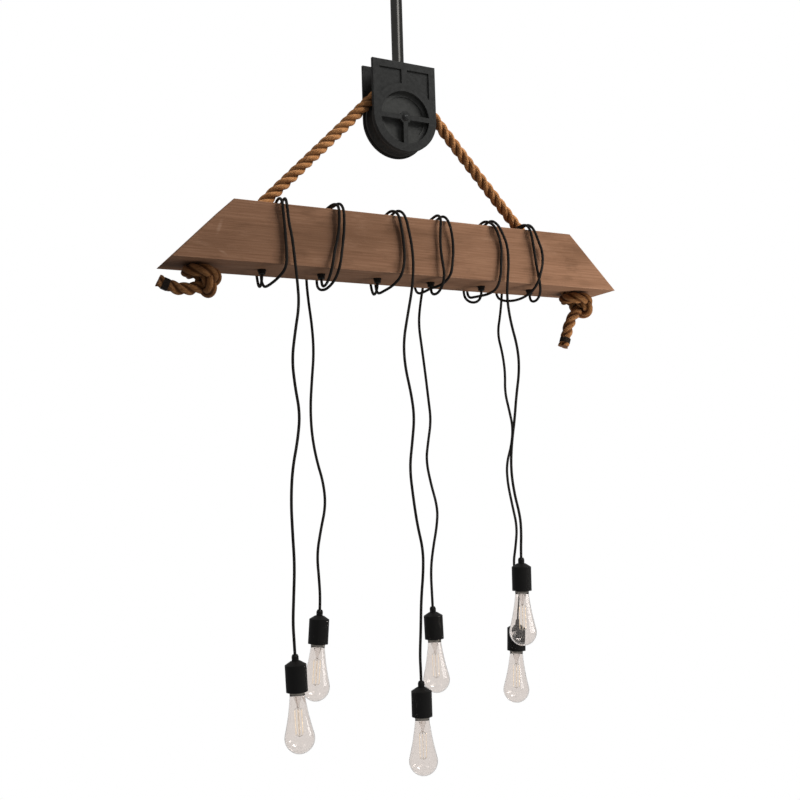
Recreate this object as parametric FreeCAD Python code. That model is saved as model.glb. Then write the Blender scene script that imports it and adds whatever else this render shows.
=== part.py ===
import FreeCAD, Part
import math
import os

# Wood beam pendant light: a mitred timber hangs on a rope that runs over a pulley block under the ceiling,
# and six bare lamps hang from the timber on cords that are wound round it.
# Millimetres. The origin is the middle of the ceiling face, +Z is up,
# +X runs along the timber and -Y is the front.

Vector = FreeCAD.Vector
UP = Vector(0, 0, 1)
DEEP = Vector(0, 1, 0)

# Ceiling fitting
canopy_radius = 65.0
canopy_height = 28.0
canopy_wall = 1.6
canopy_corner = 6.0
canopy_stem_gap = 0.4
bar_length = 112.0
bar_width = 32.0
bar_thickness = 3.0
box_screw_spacing = 88.9
box_screw_hole_radius = 2.75
boss_radius = 18.0
boss_height = 15.0

# Stem and its collar
stem_radius = 13.35
stem_bore_radius = 10.4
thread_clearance = 0.05
collar_radius = 20.0
collar_height = 12.0
set_screw_radius = 2.5
set_screw_clearance = 0.05

# Pulley block
axle_drop = 354.4
cheek_half_width = 79.0
cheek_thickness = 7.5
cheek_gap = 44.0
cheek_edge_round = 1.5
window_radius = 60.0
window_ring_width = 18.0
cheek_border = 17.0
cheek_rib = 14.0
panel_depth = 3.0
spoke_width = 11.0
hub_radius = 14.0
head_width = 64.0
head_height = 34.0
head_rope_gap = 3.6
stem_seat_depth = 24.0
cheek_screw_radius = 3.0
cheek_screw_clearance = 0.1
cheek_screw_head_radius = 6.0
cheek_screw_head_height = 3.0
cheek_screw_offset = 21.5
cheek_screw_drop = 17.0
cheek_screw_bite = 4.0

# Axle and sheave
axle_radius = 6.35
axle_fit = 0.05
axle_head_radius = 8.5
axle_head_height = 5.0
axle_nut_flats = 19.0
axle_nut_height = 8.0
axle_nut_overhang = 2.0
bush_radius = 10.0
bush_side_gap = 0.8
sheave_radius = 76.0
sheave_side_gap = 2.0
sheave_hub_radius = 18.0
sheave_rim_inner_radius = 50.0
sheave_web = 36.0

# Rope
rope_radius = 12.5
rope_groove_clearance = 0.5
rope_pitch_radius = 77.0
rope_hole_clearance = 0.5
left_hole_reach = 344.0
right_hole_reach = 327.0
knot_turn_radius = 20.0
knot_turn_half = 18.0
knot_bight_radius = 14.0
knot_bight_drop = 50.0
knot_seat_gap = 0.3
whipping_width = 13.0
whipping_wall = 0.8
whipping_setback = 5.0

# Timber and its wiring channel
axle_to_beam = 238.6
beam_length = 1079.5
beam_height = 127.0
beam_depth = 127.0
beam_edge_round = 2.0
channel_half_length = 296.0
channel_width = 36.0
channel_depth = 42.0
cover_thickness = 10.0
cover_lip = 8.0
cover_gap = 0.3
cover_screw_radius = 2.0
cover_screw_head_radius = 4.0
cover_screw_head_height = 2.4
cover_screw_length = 24.0
cover_screw_clearance = 0.1
cover_screw_pairs = 4
cover_screw_inset = 12.0
supply_inlet_radius = 5.0
terminal_length = 36.0
terminal_width = 28.0
terminal_height = 18.0
terminal_hole_radius = 2.2
terminal_pitch = 9.0

# Cords and their glands
cord_radius = 3.0
cord_fit = 0.2
gland_count = 6
gland_pitch = 133.75
gland_flange_radius = 9.0
gland_flange_height = 4.0
gland_shank_radius = 6.0
gland_shank_length = 22.0
gland_shank_clearance = 0.1
gland_nut_radius = 7.5
gland_nut_height = 7.0
gland_nut_round = 2.5
lead_start = 14.0
lead_approach = 40.0
lead_arch = 2.0
lead_height = 20.0
lead_bend_height = 20.0
lead_bend_room = 2.0
swing_gap = 0.4

# Lamp holder, measured down its own axis from the top of the neck
socket_radius = 21.5
neck_top_radius = 5.2
neck_radius = 7.0
neck_height = 12.5
neck_round_height = 4.0
shoulder_start_radius = 9.5
shoulder_height = 7.5
cap_skirt = 6.0
cap_wall = 2.6
socket_length = 52.0
socket_mouth_radius = 14.1
socket_mouth_depth = 26.0
spigot_height = 4.0
spigot_wall = 2.6
spigot_gap = 0.2
wire_chamber_depth = 12.0
contact_radius = 4.0
contact_height = 1.6
screw_shell_wall = 0.5
screw_shell_length = 22.0
cord_in_neck = 10.0

# Bulb, measured down the same axis
bulb_seat_gap = 0.3
base_thread_radius = 13.1
base_thread_depth = 0.9
base_thread_turns = 5
base_thread_pitch = 3.6
base_wall = 1.0
base_collar_radius = 15.2
base_collar_height = 4.7
base_tip_radius = 4.5
base_tip_height = 1.5
base_cone_height = 3.0
bulb_radius = 30.0
bulb_length = 115.0
bulb_neck_radius = 14.8
bulb_wall = 1.0
bulb_side_hollow = 1.7
bulb_side_angle = 15.0
stem_press_length = 26.0
stem_press_radius = 8.0
stem_press_tip_radius = 2.4
filament_rod_radius = 0.6
filament_count = 6
filament_spread = 9.0
filament_length = 56.0
filament_disc = 1.0

# Levels
axle_z = -axle_drop
cheek_rise = rope_pitch_radius + rope_radius + head_rope_gap + head_height
cheek_top_z = axle_z + cheek_rise
beam_top_z = axle_z - axle_to_beam
beam_bottom_z = beam_top_z - beam_height
stem_top_z = -bar_thickness
head_bottom_z = cheek_top_z - head_height
stem_bottom_z = cheek_top_z - stem_seat_depth
channel_floor_z = beam_top_z - channel_depth
cheek_face = cheek_gap / 2 + cheek_thickness

# Cord routes
hang_offset = 72.0

# For each lamp: the side that it hangs on, the points of the cord's winding and of its free drop, the top of
# the lamp holder's neck, and how far the lamp leans, in degrees, with its foot towards +X.
# The winding starts in the gland under the timber and goes round it about one and a half times. Its points
# are places along the timber, behind its middle and over its underside. The points of the drop are places
# along the timber and heights over its underside, the first where the cord leaves the timber and the lamp
# swings.
lamps = [
    {
        "side": -1,
        "winding": [
            (-334.4, 0, -4), (-334.4, 0, -15), (-334, 5, -26), (-332, 16, -31), (-329, 33, -30),
            (-325, 51, -22), (-321, 67, -10), (-321, 75, 11), (-322, 71, 42), (-323, 70, 73),
            (-324, 71, 103), (-325, 73, 131), (-323, 56, 142), (-313, 22, 134), (-310, -16, 134),
            (-313, -50, 143), (-314, -73, 131), (-311, -70, 110), (-308, -69, 80), (-306, -69, 47),
            (-305, -71, 15), (-308, -71, -11), (-317, -44, -27), (-323, -14, -34), (-322, 18, -33),
            (-316, 48, -22), (-312, 70, -5), (-311, 72, 28), (-311, 70, 64), (-311, 71, 98),
            (-310, 73, 131), (-306, 56, 142), (-301, 20, 134), (-299, -20, 134), (-302, -56, 143),
            (-304, -72.5, 129),
        ],
        "drop": [
            (-302, 108), (-300, 86), (-293, 54), (-289, 14), (-284, -34), (-281, -84), (-291, -140),
            (-299, -196), (-294, -250), (-284, -306), (-290, -360), (-303, -420), (-307, -484),
            (-305, -546), (-302, -608), (-305, -668), (-308, -722),
        ],
        "neck": (-305, -783),
        "lean": 2.4,
    },
    {
        "side": 1,
        "winding": [
            (-200.6, 0, -4), (-200.6, 0, -15), (-201, -5, -26), (-203, -19, -31), (-205, -41, -28),
            (-207, -64, -15), (-205, -75, 7), (-199, -70, 34), (-190, -69, 65), (-186, -71, 98),
            (-187, -73, 131), (-191, -54, 142), (-198, -20, 134), (-196, 14, 131), (-189, 42, 133),
            (-184, 66, 138), (-183, 75, 120), (-182, 71, 95), (-181, 70, 64), (-181, 70, 28),
            (-182, 72, -5), (-186, 54, -20), (-192, 20, -31), (-193, -14, -34), (-191, -53, -22),
            (-189, -75, 3), (-182, -71, 36), (-177, -69, 66), (-175, -71, 97), (-177, -74, 127),
            (-180, -58, 144), (-184, -22, 140), (-191, 18, 140), (-196, 55, 143), (-197, 72.5, 129),
        ],
        "drop": [
            (-197, 108), (-197, 86), (-201, 56), (-207, 14), (-203, -42), (-195, -100), (-192, -160),
            (-198, -220), (-203, -280), (-201, -340), (-191, -396), (-176, -446), (-172, -496),
            (-185, -548), (-195, -600), (-191, -654),
        ],
        "neck": (-191, -717),
        "lean": -4.7,
    },
    {
        "side": -1,
        "winding": [
            (-66.9, 0, -4), (-66.9, 0, -15), (-67, 5, -26), (-65, 16, -31), (-61, 33, -30), (-55, 51, -22),
            (-50, 67, -10), (-49, 75, 11), (-50, 71, 42), (-51, 70, 73), (-52, 71, 103), (-53, 73, 131),
            (-55, 56, 142), (-56, 22, 134), (-56, -16, 134), (-54, -50, 142), (-48, -73, 130),
            (-41, -70, 106), (-36, -69, 79), (-34, -69, 51), (-35, -71, 23), (-44, -72, -8),
            (-53, -46, -25), (-58, -14, -30), (-55, 18, -30), (-45, 48, -21), (-38, 70, -5), (-37, 72, 28),
            (-37, 70, 64), (-37, 71, 98), (-37, 73, 131), (-39, 56, 142), (-41, 20, 134), (-42, -20, 135),
            (-41, -56, 143), (-31, -72.5, 129),
        ],
        "drop": [
            (-26, 108), (-21, 86), (-16, 56), (-14, 16), (-19, -34), (-32, -92), (-44, -150), (-42, -204),
            (-29, -262), (-23, -312), (-30, -366), (-38, -420), (-32, -480), (-24, -540), (-12, -592),
            (-13, -640), (-20, -696), (-23, -756), (-27, -812),
        ],
        "neck": (-26, -864),
        "lean": 0.0,
    },
    {
        "side": 1,
        "winding": [
            (66.9, 0, -4), (66.9, 0, -15), (66, -5, -26), (65, -20, -32), (64, -43, -30), (62, -66, -16),
            (61, -75, 7), (58, -71, 38), (56, -69, 68), (56, -71, 98), (58, -73, 130), (58, -55, 142),
            (56, -18, 134), (54, 20, 134), (52, 56, 142), (51, 73, 130), (52, 71, 99), (55, 70, 65),
            (60, 70, 28), (65, 72, -4), (64, 55, -16), (57, 18, -20), (58, -16, -17), (67, -52, -16),
            (78, -75, 3), (85, -71, 35), (89, -69, 64), (86, -71, 95), (77, -74, 124), (72, -56, 142),
            (71, -18, 134), (76, 20, 134), (84, 55, 142), (87, 72.5, 129),
        ],
        "drop": [
            (87, 108), (87, 86), (90, 56), (88, 14), (77, -36), (71, -84), (78, -140), (85, -200),
            (91, -260), (96, -308), (86, -360), (80, -400), (90, -452), (106, -508), (103, -548),
            (90, -604), (83, -650),
        ],
        "neck": (85, -731),
        "lean": 1.5,
    },
    {
        "side": -1,
        "winding": [
            (200.6, 0, -4), (200.6, 0, -16), (200, 5, -28), (198, 17, -34), (195, 33, -33), (193, 50, -26),
            (194, 67, -13), (197, 75, 8), (198, 71, 40), (198, 70, 72), (196, 71, 103), (193, 73, 131),
            (190, 56, 142), (188, 22, 134), (186, -16, 134), (185, -50, 142), (196, -73, 127),
            (209, -70, 104), (216, -69, 76), (213, -69, 43), (209, -72, 9), (199, -69, -20),
            (193, -42, -27), (192, -10, -25), (194, 22, -22), (199, 53, -18), (205, 73, -1), (207, 72, 31),
            (207, 70, 64), (207, 71, 98), (206, 73, 131), (204, 56, 142), (201, 20, 134), (199, -20, 135),
            (198, -54, 143), (205, -73, 130), (218, -74, 106), (230, -72, 82),
        ],
        "drop": [
            (231, 58), (231, 36), (227, 6), (223, -38), (230, -92), (247, -152), (249, -204), (238, -262),
            (231, -316), (221, -368), (216, -424), (222, -478), (236, -532), (237, -570),
        ],
        "neck": (234, -623),
        "lean": -0.9,
    },
    {
        "side": 1,
        "winding": [
            (334.4, 0, -4), (334.4, 0, -15), (333, -5, -26), (330, -21, -33), (326, -45, -32),
            (319, -68, -19), (314, -73.5, 4), (310, -70, 36), (306, -69.5, 66), (301, -71, 97),
            (292, -74, 129), (288, -56, 142), (283, -18, 134), (278, 20, 134), (277, 56, 142),
            (277, 73, 130), (278, 71, 99), (281, 70, 65), (284, 70, 28), (287, 72, -5), (290, 54, -19),
            (297, 18, -26), (303, -16, -25), (304, -50, -18), (303, -78, -5), (311, -82, 20),
            (324, -75, 49), (327, -70, 77), (315, -73, 100), (302, -76, 126), (298, -58, 143),
            (293, -20, 134), (295, 20, 134), (302, 55, 142), (306, 72.5, 129),
        ],
        "drop": [
            (306, 108), (306, 86), (308, 56), (304, 10), (297, -46), (286, -96), (298, -142), (304, -190),
            (301, -238), (311, -280), (320, -322), (314, -366), (298, -410), (299, -456), (310, -510),
            (321, -560), (315, -606), (306, -648), (316, -704),
        ],
        "neck": (309, -777),
        "lean": -2.7,
    },
]

# Tails of the two knots, from inside the knot to the cut end: along the timber, behind its middle, height
left_tail = [(-460, 0, -35), (-490, -5, -49), (-523, -8, -52), (-554, -8, -39)]
right_tail = [(464, 0, -34), (446, -5, -62), (435, -8, -95), (424, -8, -127)]


def over_timber(x, y, z):
    """A point given along the timber, behind its middle and over its underside."""
    return Vector(x, y, z + beam_bottom_z)


def flat_profile(start, *steps):
    """A closed face in the XZ plane: each step is an end point, or a middle and an end point of an arc."""
    edges = []
    here = Vector(start[0], 0, start[1])
    for step in steps + ((start,),):
        there = Vector(step[-1][0], 0, step[-1][1])
        if len(step) == 2:
            middle = Vector(step[0][0], 0, step[0][1])
            edges.append(Part.Arc(here, middle, there).toShape())
        else:
            edges.append(Part.LineSegment(here, there).toShape())
        here = there
    return Part.Face(Part.Wire(edges))


def turned(start, *steps):
    """A solid of revolution round the Z axis, from a profile of radius and height."""
    return flat_profile(start, *steps).revolve(Vector(), UP, 360)


def to(radius, height):
    """A straight step of a profile."""
    return ((radius, height),)


def rounded(middle, end):
    """An arc step of a profile."""
    return (middle, end)


def rod(start, end, radius):
    """A round bar between two points."""
    along = end - start
    return Part.makeCylinder(radius, along.Length, start, along)


def hexagon(flats, height, base):
    """A hexagonal prism that stands on a point and runs towards +Y."""
    corner = flats / math.sqrt(3)
    points = []
    for step in range(7):
        angle = math.radians(60 * step)
        points.append(base + Vector(corner * math.cos(angle), 0, corner * math.sin(angle)))
    return Part.Face(Part.makePolygon(points)).extrude(DEEP * height)


def cord_line(points):
    """Straight runs joined by tangent arcs that are as large as the runs allow, and the arcs' radii."""
    edges = []
    radii = []
    here = points[0]
    for before, corner, after in zip(points, points[1:], points[2:]):
        back = before - corner
        ahead = after - corner
        setback = 0.45 * min(back.Length, ahead.Length)
        back.normalize()
        ahead.normalize()
        half_turn = (math.pi - back.getAngle(ahead)) / 2
        radius = setback / math.tan(half_turn)
        inward = back + ahead
        inward.normalize()
        first = corner + back * setback
        last = corner + ahead * setback
        middle = corner + inward * (radius / math.cos(half_turn) - radius)
        edges.append(Part.LineSegment(here, first).toShape())
        edges.append(Part.Arc(first, middle, last).toShape())
        radii.append(radius)
        here = last
    edges.append(Part.LineSegment(here, points[-1]).toShape())
    return Part.Wire(edges), radii


def swept(name, line, radius, radii):
    """A round tube along a line, with its tightest bend and its volume compared with section times length."""
    first = line.Edges[0]
    ring = Part.Circle(first.valueAt(first.FirstParameter), first.tangentAt(first.FirstParameter), radius)
    solid = line.makePipeShell([Part.Wire(ring.toShape())], True, False)
    share = solid.Volume / (math.pi * radius**2 * line.Length)
    print(f"{name}: {line.Length:.0f} mm long, tightest bend {min(radii):.1f} mm, volume share {share:.4f}")
    return solid


def cord(name, points, radius=cord_radius):
    """A cord's tube along its route."""
    line, radii = cord_line(points)
    return swept(name, line, radius, radii)


def gap_to_itself(points, radius):
    """The least room between two turns of a winding, measured on points along its line."""
    line, _ = cord_line(points)
    places = line.discretize(Distance=4.0)
    apart = int(15 * radius / 4.0)
    nearest = min(
        a.distanceToPoint(b) for index, a in enumerate(places) for b in places[index + apart:]
    )
    return nearest - 2 * radius


def save(name, *solids):
    """Write one node, as its solid or as a group of separate solids."""
    shape = solids[0] if len(solids) == 1 else Part.makeCompound(list(solids))
    if not shape.isValid():
        print(f"{name}: not valid")
    shape.exportStep(f"parts/{name}.step")


def make_canopy():
    """A spun dish whose rim meets the ceiling, with a hole for the stem."""
    hole = stem_radius + canopy_stem_gap
    outer_bend = canopy_radius - canopy_corner
    bend_z = canopy_corner - canopy_height
    slant = math.sqrt(0.5)
    inner_corner = canopy_corner - canopy_wall
    return turned(
        (canopy_radius, 0),
        to(canopy_radius, bend_z),
        rounded((outer_bend + canopy_corner * slant, bend_z - canopy_corner * slant),
                (outer_bend, -canopy_height)),
        to(hole, -canopy_height),
        to(hole, canopy_wall - canopy_height),
        to(outer_bend, canopy_wall - canopy_height),
        rounded((outer_bend + inner_corner * slant, bend_z - inner_corner * slant),
                (canopy_radius - canopy_wall, bend_z)),
        to(canopy_radius - canopy_wall, 0),
    )


def make_mounting_bar():
    """The bar that screws to the ceiling box, with a boss that the stem screws into."""
    corner = Vector(-bar_length / 2, -bar_width / 2, -bar_thickness)
    boss_low = Vector(0, 0, -bar_thickness - boss_height)
    bar = Part.makeBox(bar_length, bar_width, bar_thickness, corner)
    boss = Part.makeCylinder(boss_radius, boss_height, boss_low)
    seat = Part.makeCylinder(stem_radius + thread_clearance, boss_height, boss_low)
    wireway = Part.makeCylinder(stem_bore_radius, bar_thickness, Vector(0, 0, -bar_thickness))
    shape = bar.fuse(boss).cut(seat).cut(wireway)
    for side in (-1, 1):
        place = Vector(side * box_screw_spacing / 2, 0, -bar_thickness)
        shape = shape.cut(Part.makeCylinder(box_screw_hole_radius, bar_thickness, place))
    return shape.removeSplitter()


def make_stem():
    """The tube between the ceiling bar and the pulley block."""
    length = stem_top_z - stem_bottom_z
    base = Vector(0, 0, stem_bottom_z)
    return Part.makeCylinder(stem_radius, length, base).cut(Part.makeCylinder(stem_bore_radius, length, base))


def make_collar():
    """The ring under the canopy, and the set screw that holds it on the stem."""
    base = Vector(0, 0, -canopy_height - collar_height)
    ring = Part.makeCylinder(collar_radius, collar_height, base)
    ring = ring.cut(Part.makeCylinder(stem_radius + thread_clearance, collar_height, base))
    start = Vector(0, stem_radius + thread_clearance, -canopy_height - collar_height / 2)
    end = Vector(0, collar_radius, start.z)
    hole = rod(start - DEEP, end + DEEP, set_screw_radius + set_screw_clearance)
    return ring.cut(hole), rod(start, end, set_screw_radius)


def screw_places():
    """The places of the screws that hold the cheeks to the head block."""
    z = cheek_top_z - cheek_screw_drop
    return [Vector(side * cheek_screw_offset, 0, z) for side in (-1, 1)]


def make_head_block():
    """The block between the cheeks that the stem screws into."""
    half_gap = cheek_gap / 2
    corner = Vector(-head_width / 2, -half_gap, head_bottom_z)
    seat = Part.makeCylinder(stem_radius + thread_clearance, stem_seat_depth, Vector(0, 0, stem_bottom_z))
    wireway = Part.makeCylinder(stem_bore_radius, head_height, Vector(0, 0, head_bottom_z))
    shape = Part.makeBox(head_width, cheek_gap, head_height, corner).cut(seat).cut(wireway)
    for place in screw_places():
        across = DEEP * half_gap
        shape = shape.cut(rod(place - across, place + across, cheek_screw_radius + cheek_screw_clearance))
    return shape


def cheek_slab():
    """The outline of a cheek, straight at the top and round under the axle, as a slab behind Y = 0."""
    face = flat_profile(
        (-cheek_half_width, cheek_rise),
        to(-cheek_half_width, 0),
        rounded((0, -cheek_half_width), (cheek_half_width, 0)),
        to(cheek_half_width, cheek_rise),
    )
    return face.extrude(DEEP * cheek_thickness)


def make_cheek(side):
    """One cheek: a plate with a window, a three-armed hub, a raised border, a rib and two sunk panels."""
    plate = cheek_slab()
    outer = [edge for edge in plate.Edges if all(abs(corner.Point.y) < 1e-6 for corner in edge.Vertexes)]
    plate = plate.makeFillet(cheek_edge_round, outer)
    plate = plate.cut(Part.makeCylinder(window_radius, cheek_thickness, Vector(), DEEP))
    arms = Part.makeCylinder(hub_radius, cheek_thickness, Vector(), DEEP)
    reach = window_radius + window_ring_width / 2
    half_spoke = spoke_width / 2
    arms = arms.fuse(Part.makeBox(2 * reach, cheek_thickness, spoke_width, Vector(-reach, 0, -half_spoke)))
    arms = arms.fuse(Part.makeBox(spoke_width, cheek_thickness, reach, Vector(-half_spoke, 0, -reach)))
    reached = Part.makeCylinder(reach, cheek_thickness, Vector(), DEEP)
    shape = plate.fuse(arms.common(reached))
    panel_width = cheek_half_width - cheek_border - cheek_rib / 2
    panel_top = cheek_rise - cheek_border
    ring = Part.makeCylinder(window_radius + window_ring_width, panel_depth, Vector(), DEEP)
    for start in (cheek_rib / 2, -cheek_rib / 2 - panel_width):
        panel = Part.makeBox(panel_width, panel_depth, panel_top, Vector(start, 0, 0))
        shape = shape.cut(panel.cut(ring))
    shape = shape.cut(Part.makeCylinder(axle_radius + axle_fit, cheek_thickness, Vector(), DEEP))
    shape = shape.removeSplitter()
    if side > 0:
        shape = shape.mirror(Vector(), DEEP)
    shape.translate(Vector(0, side * cheek_face, axle_z))
    for place in screw_places():
        shape = shape.cut(screw_hole(place, side))
    return shape


def screw_hole(place, side):
    """The hole of a cheek screw: right through and sunk at the back, blind at the front."""
    radius = cheek_screw_radius + cheek_screw_clearance
    inner = place + DEEP * (side * cheek_gap / 2)
    if side < 0:
        return rod(inner, inner - DEEP * cheek_screw_bite, radius)
    outer = place + DEEP * cheek_face
    through = rod(inner, outer, radius)
    sunk = Part.makeCone(radius, cheek_screw_head_radius + cheek_screw_clearance, cheek_screw_head_height,
                         outer - DEEP * cheek_screw_head_height, DEEP)
    return through.fuse(sunk)


def make_cheek_screws():
    """Sunk screws that pass from the rear cheek through the head block into the front cheek."""
    screws = []
    for place in screw_places():
        tip = place - DEEP * (cheek_gap / 2 + cheek_screw_bite - cheek_screw_clearance)
        outer = place + DEEP * cheek_face
        head = Part.makeCone(cheek_screw_radius, cheek_screw_head_radius, cheek_screw_head_height,
                             outer - DEEP * cheek_screw_head_height, DEEP)
        screws.append(rod(tip, outer, cheek_screw_radius).fuse(head).removeSplitter())
    return screws


def make_axle():
    """The axle pin, with a domed head in front and a plain end for its nut at the back."""
    front = Vector(0, -cheek_face, axle_z)
    back = Vector(0, cheek_face + axle_nut_height + axle_nut_overhang, axle_z)
    dome_radius = (axle_head_radius**2 + axle_head_height**2) / (2 * axle_head_height)
    dome = Part.makeSphere(dome_radius, front + DEEP * (dome_radius - axle_head_height))
    head = dome.common(rod(front - DEEP * axle_head_height, front, axle_head_radius))
    return rod(front, back, axle_radius).fuse(head)


def make_axle_nut():
    """The hexagon nut behind the rear cheek."""
    base = Vector(0, cheek_face, axle_z)
    nut = hexagon(axle_nut_flats, axle_nut_height, base)
    return nut.cut(Part.makeCylinder(axle_radius + axle_fit, axle_nut_height, base, DEEP))


def make_sheave():
    """The grooved wheel: a rim with a round groove for the rope, a web sunk a little on both sides, and a hub."""
    half = cheek_gap / 2 - sheave_side_gap
    start = Vector(0, -half, axle_z)
    wheel = Part.makeCylinder(sheave_radius, 2 * half, start, DEEP)
    groove_radius = rope_radius + rope_groove_clearance
    wheel = wheel.cut(Part.makeTorus(rope_pitch_radius, groove_radius, Vector(0, 0, axle_z), DEEP))
    pocket_depth = half - sheave_web / 2
    for base in (start, Vector(0, sheave_web / 2, axle_z)):
        pocket = Part.makeCylinder(sheave_rim_inner_radius, pocket_depth, base, DEEP)
        wheel = wheel.cut(pocket.cut(Part.makeCylinder(sheave_hub_radius, pocket_depth, base, DEEP)))
    return wheel.cut(Part.makeCylinder(bush_radius, 2 * half, start, DEEP))


def make_bush():
    """The plain bearing in the sheave's hub."""
    half = cheek_gap / 2 - bush_side_gap
    start = Vector(0, -half, axle_z)
    bore = Part.makeCylinder(axle_radius + axle_fit, 2 * half, start, DEEP)
    return Part.makeCylinder(bush_radius, 2 * half, start, DEEP).cut(bore)


def rope_leg(side, reach):
    """Where a leg of the rope leaves the sheave, where it meets the timber, its direction and its slope."""
    distance = math.hypot(reach, axle_to_beam)
    slope = math.atan2(axle_to_beam, reach) + math.asin(rope_pitch_radius / distance)
    outward = Vector(side * math.cos(slope), 0, -math.sin(slope))
    leaves = Vector(side * math.sin(slope), 0, math.cos(slope)) * rope_pitch_radius + Vector(0, 0, axle_z)
    return leaves, Vector(side * reach, 0, beam_top_z), outward, slope


def rope_end(side, reach):
    """The end of the plain rope, just inside the mouth of its hole under the timber."""
    _, top, outward, slope = rope_leg(side, reach)
    fall = beam_height - rope_radius * math.cos(slope)
    return top + outward * (fall / math.sin(slope))


def make_rope():
    """The pulled rope: two straight legs and the arc over the sheave."""
    left, _, _, _ = rope_leg(-1, left_hole_reach)
    right, _, _, _ = rope_leg(1, right_hole_reach)
    crown = Vector(0, 0, axle_z + rope_pitch_radius)
    line = Part.Wire([
        Part.LineSegment(rope_end(-1, left_hole_reach), left).toShape(),
        Part.Arc(left, crown, right).toShape(),
        Part.LineSegment(right, rope_end(1, right_hole_reach)).toShape(),
    ])
    return swept("rope", line, rope_radius, [rope_pitch_radius])


def make_knot(name, side, reach, tail):
    """A stopper knot as its outer shape: the rope's neck, a turn across, a bight below it and the tail."""
    start = rope_end(side, reach)
    _, _, outward, _ = rope_leg(side, reach)
    turn_z = beam_bottom_z - knot_seat_gap - knot_turn_radius
    middle = start + outward * ((start.z - turn_z) / -outward.z)
    across = Vector(knot_turn_half, 0, 0)
    shape = rod(start, middle, rope_radius)
    shape = shape.fuse(rod(middle - across, middle + across, knot_turn_radius))
    shape = shape.fuse(Part.makeSphere(knot_turn_radius, middle - across))
    shape = shape.fuse(Part.makeSphere(knot_turn_radius, middle + across))
    bight = Vector(middle.x + knot_turn_half, 0, beam_bottom_z - knot_bight_drop)
    shape = shape.fuse(rod(Vector(bight.x, 0, turn_z), bight, knot_bight_radius))
    shape = shape.fuse(Part.makeSphere(knot_bight_radius, bight))
    return shape.fuse(cord(name, [over_timber(*point) for point in tail], rope_radius)).removeSplitter()


def make_whipping(tail):
    """A band of thread round a tail, a little way from its end."""
    end = over_timber(*tail[-1])
    inward = over_timber(*tail[-2]) - end
    inward.normalize()
    outer = end + inward * whipping_setback
    inner = outer + inward * whipping_width
    return rod(outer, inner, rope_radius + whipping_wall).cut(rod(outer, inner, rope_radius))


def gland_places():
    """The middle of each gland on the timber's underside."""
    first = -gland_pitch * (gland_count - 1) / 2
    return [over_timber(first + gland_pitch * index, 0, 0) for index in range(gland_count)]


def lead_entry(gland):
    """Where a gland's hole comes out in the floor of the wiring channel: drawn in at the channel's ends."""
    limit = channel_half_length - gland_flange_radius
    return Vector(max(-limit, min(limit, gland.x)), 0, channel_floor_z)


def lead_bend(gland):
    """Where the hole over a gland turns towards the channel."""
    return gland + UP * (gland_shank_length + lead_bend_height)


def cover_screw_places():
    """The places of the cover's screws, in pairs along its two lips."""
    half = channel_half_length + cover_lip - cover_screw_inset
    lip = channel_width / 2 + cover_lip / 2
    places = []
    for index in range(cover_screw_pairs):
        x = -half + 2 * half * index / (cover_screw_pairs - 1)
        places.extend(Vector(x, side * lip, beam_top_z) for side in (-1, 1))
    return places


def make_beam():
    """The timber: mitred ends, sloping rope holes, six cord holes and a covered wiring channel."""
    half = beam_length / 2
    top_half = half - beam_height
    face = flat_profile(
        (-half, beam_bottom_z), to(half, beam_bottom_z), to(top_half, beam_top_z), to(-top_half, beam_top_z)
    )
    face.translate(Vector(0, -beam_depth / 2, 0))
    timber = face.extrude(DEEP * beam_depth)
    blunt = [edge for edge in timber.Edges if any(abs(corner.X) < half - 1 for corner in edge.Vertexes)]
    blunt = [edge for edge in blunt if edge.BoundBox.XLength > 1 or edge.CenterOfMass.z > beam_bottom_z + 1]
    timber = timber.makeFillet(beam_edge_round, blunt)
    for side, reach in ((-1, left_hole_reach), (1, right_hole_reach)):
        _, top, outward, _ = rope_leg(side, reach)
        run = outward * (2 * beam_height)
        timber = timber.cut(rod(top - run, top + run, rope_radius + rope_hole_clearance))
    channel = Part.makeBox(2 * channel_half_length, channel_width, channel_depth,
                           Vector(-channel_half_length, -channel_width / 2, channel_floor_z))
    cover_half = channel_half_length + cover_lip + cover_gap
    cover_width = channel_width + 2 * (cover_lip + cover_gap)
    recess = Part.makeBox(2 * cover_half, cover_width, cover_thickness,
                          Vector(-cover_half, -cover_width / 2, beam_top_z - cover_thickness))
    timber = timber.cut(channel).cut(recess)
    for gland in gland_places():
        bend = lead_bend(gland)
        entry = lead_entry(gland)
        rise = entry - bend
        hole_radius = gland_shank_radius + gland_shank_clearance
        timber = timber.cut(rod(gland, bend, hole_radius))
        timber = timber.cut(Part.makeSphere(hole_radius + lead_bend_room, bend))
        timber = timber.cut(rod(bend, entry + rise * (lead_height / rise.z), hole_radius))
    for place in cover_screw_places():
        tip = place - UP * (cover_screw_length + cover_screw_clearance)
        timber = timber.cut(rod(tip, place, cover_screw_radius + cover_screw_clearance))
    inlet_z = beam_top_z - cover_thickness - 2 * supply_inlet_radius
    _, top, outward, _ = rope_leg(-1, left_hole_reach)
    rope_side = top + outward * ((inlet_z - top.z) / outward.z)
    return timber.cut(rod(rope_side, Vector(-channel_half_length, 0, inlet_z), supply_inlet_radius))


def make_cover():
    """The wood strip that closes the wiring channel flush with the timber's top."""
    half = channel_half_length + cover_lip
    width = channel_width + 2 * cover_lip
    corner = Vector(-half, -width / 2, beam_top_z - cover_thickness)
    strip = Part.makeBox(2 * half, width, cover_thickness, corner)
    shank = cover_screw_radius + cover_screw_clearance
    head = cover_screw_head_radius + cover_screw_clearance
    for place in cover_screw_places():
        strip = strip.cut(rod(place - UP * cover_thickness, place, shank))
        sunk = place - UP * cover_screw_head_height
        strip = strip.cut(Part.makeCone(shank, head, cover_screw_head_height, sunk))
    return strip


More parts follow.
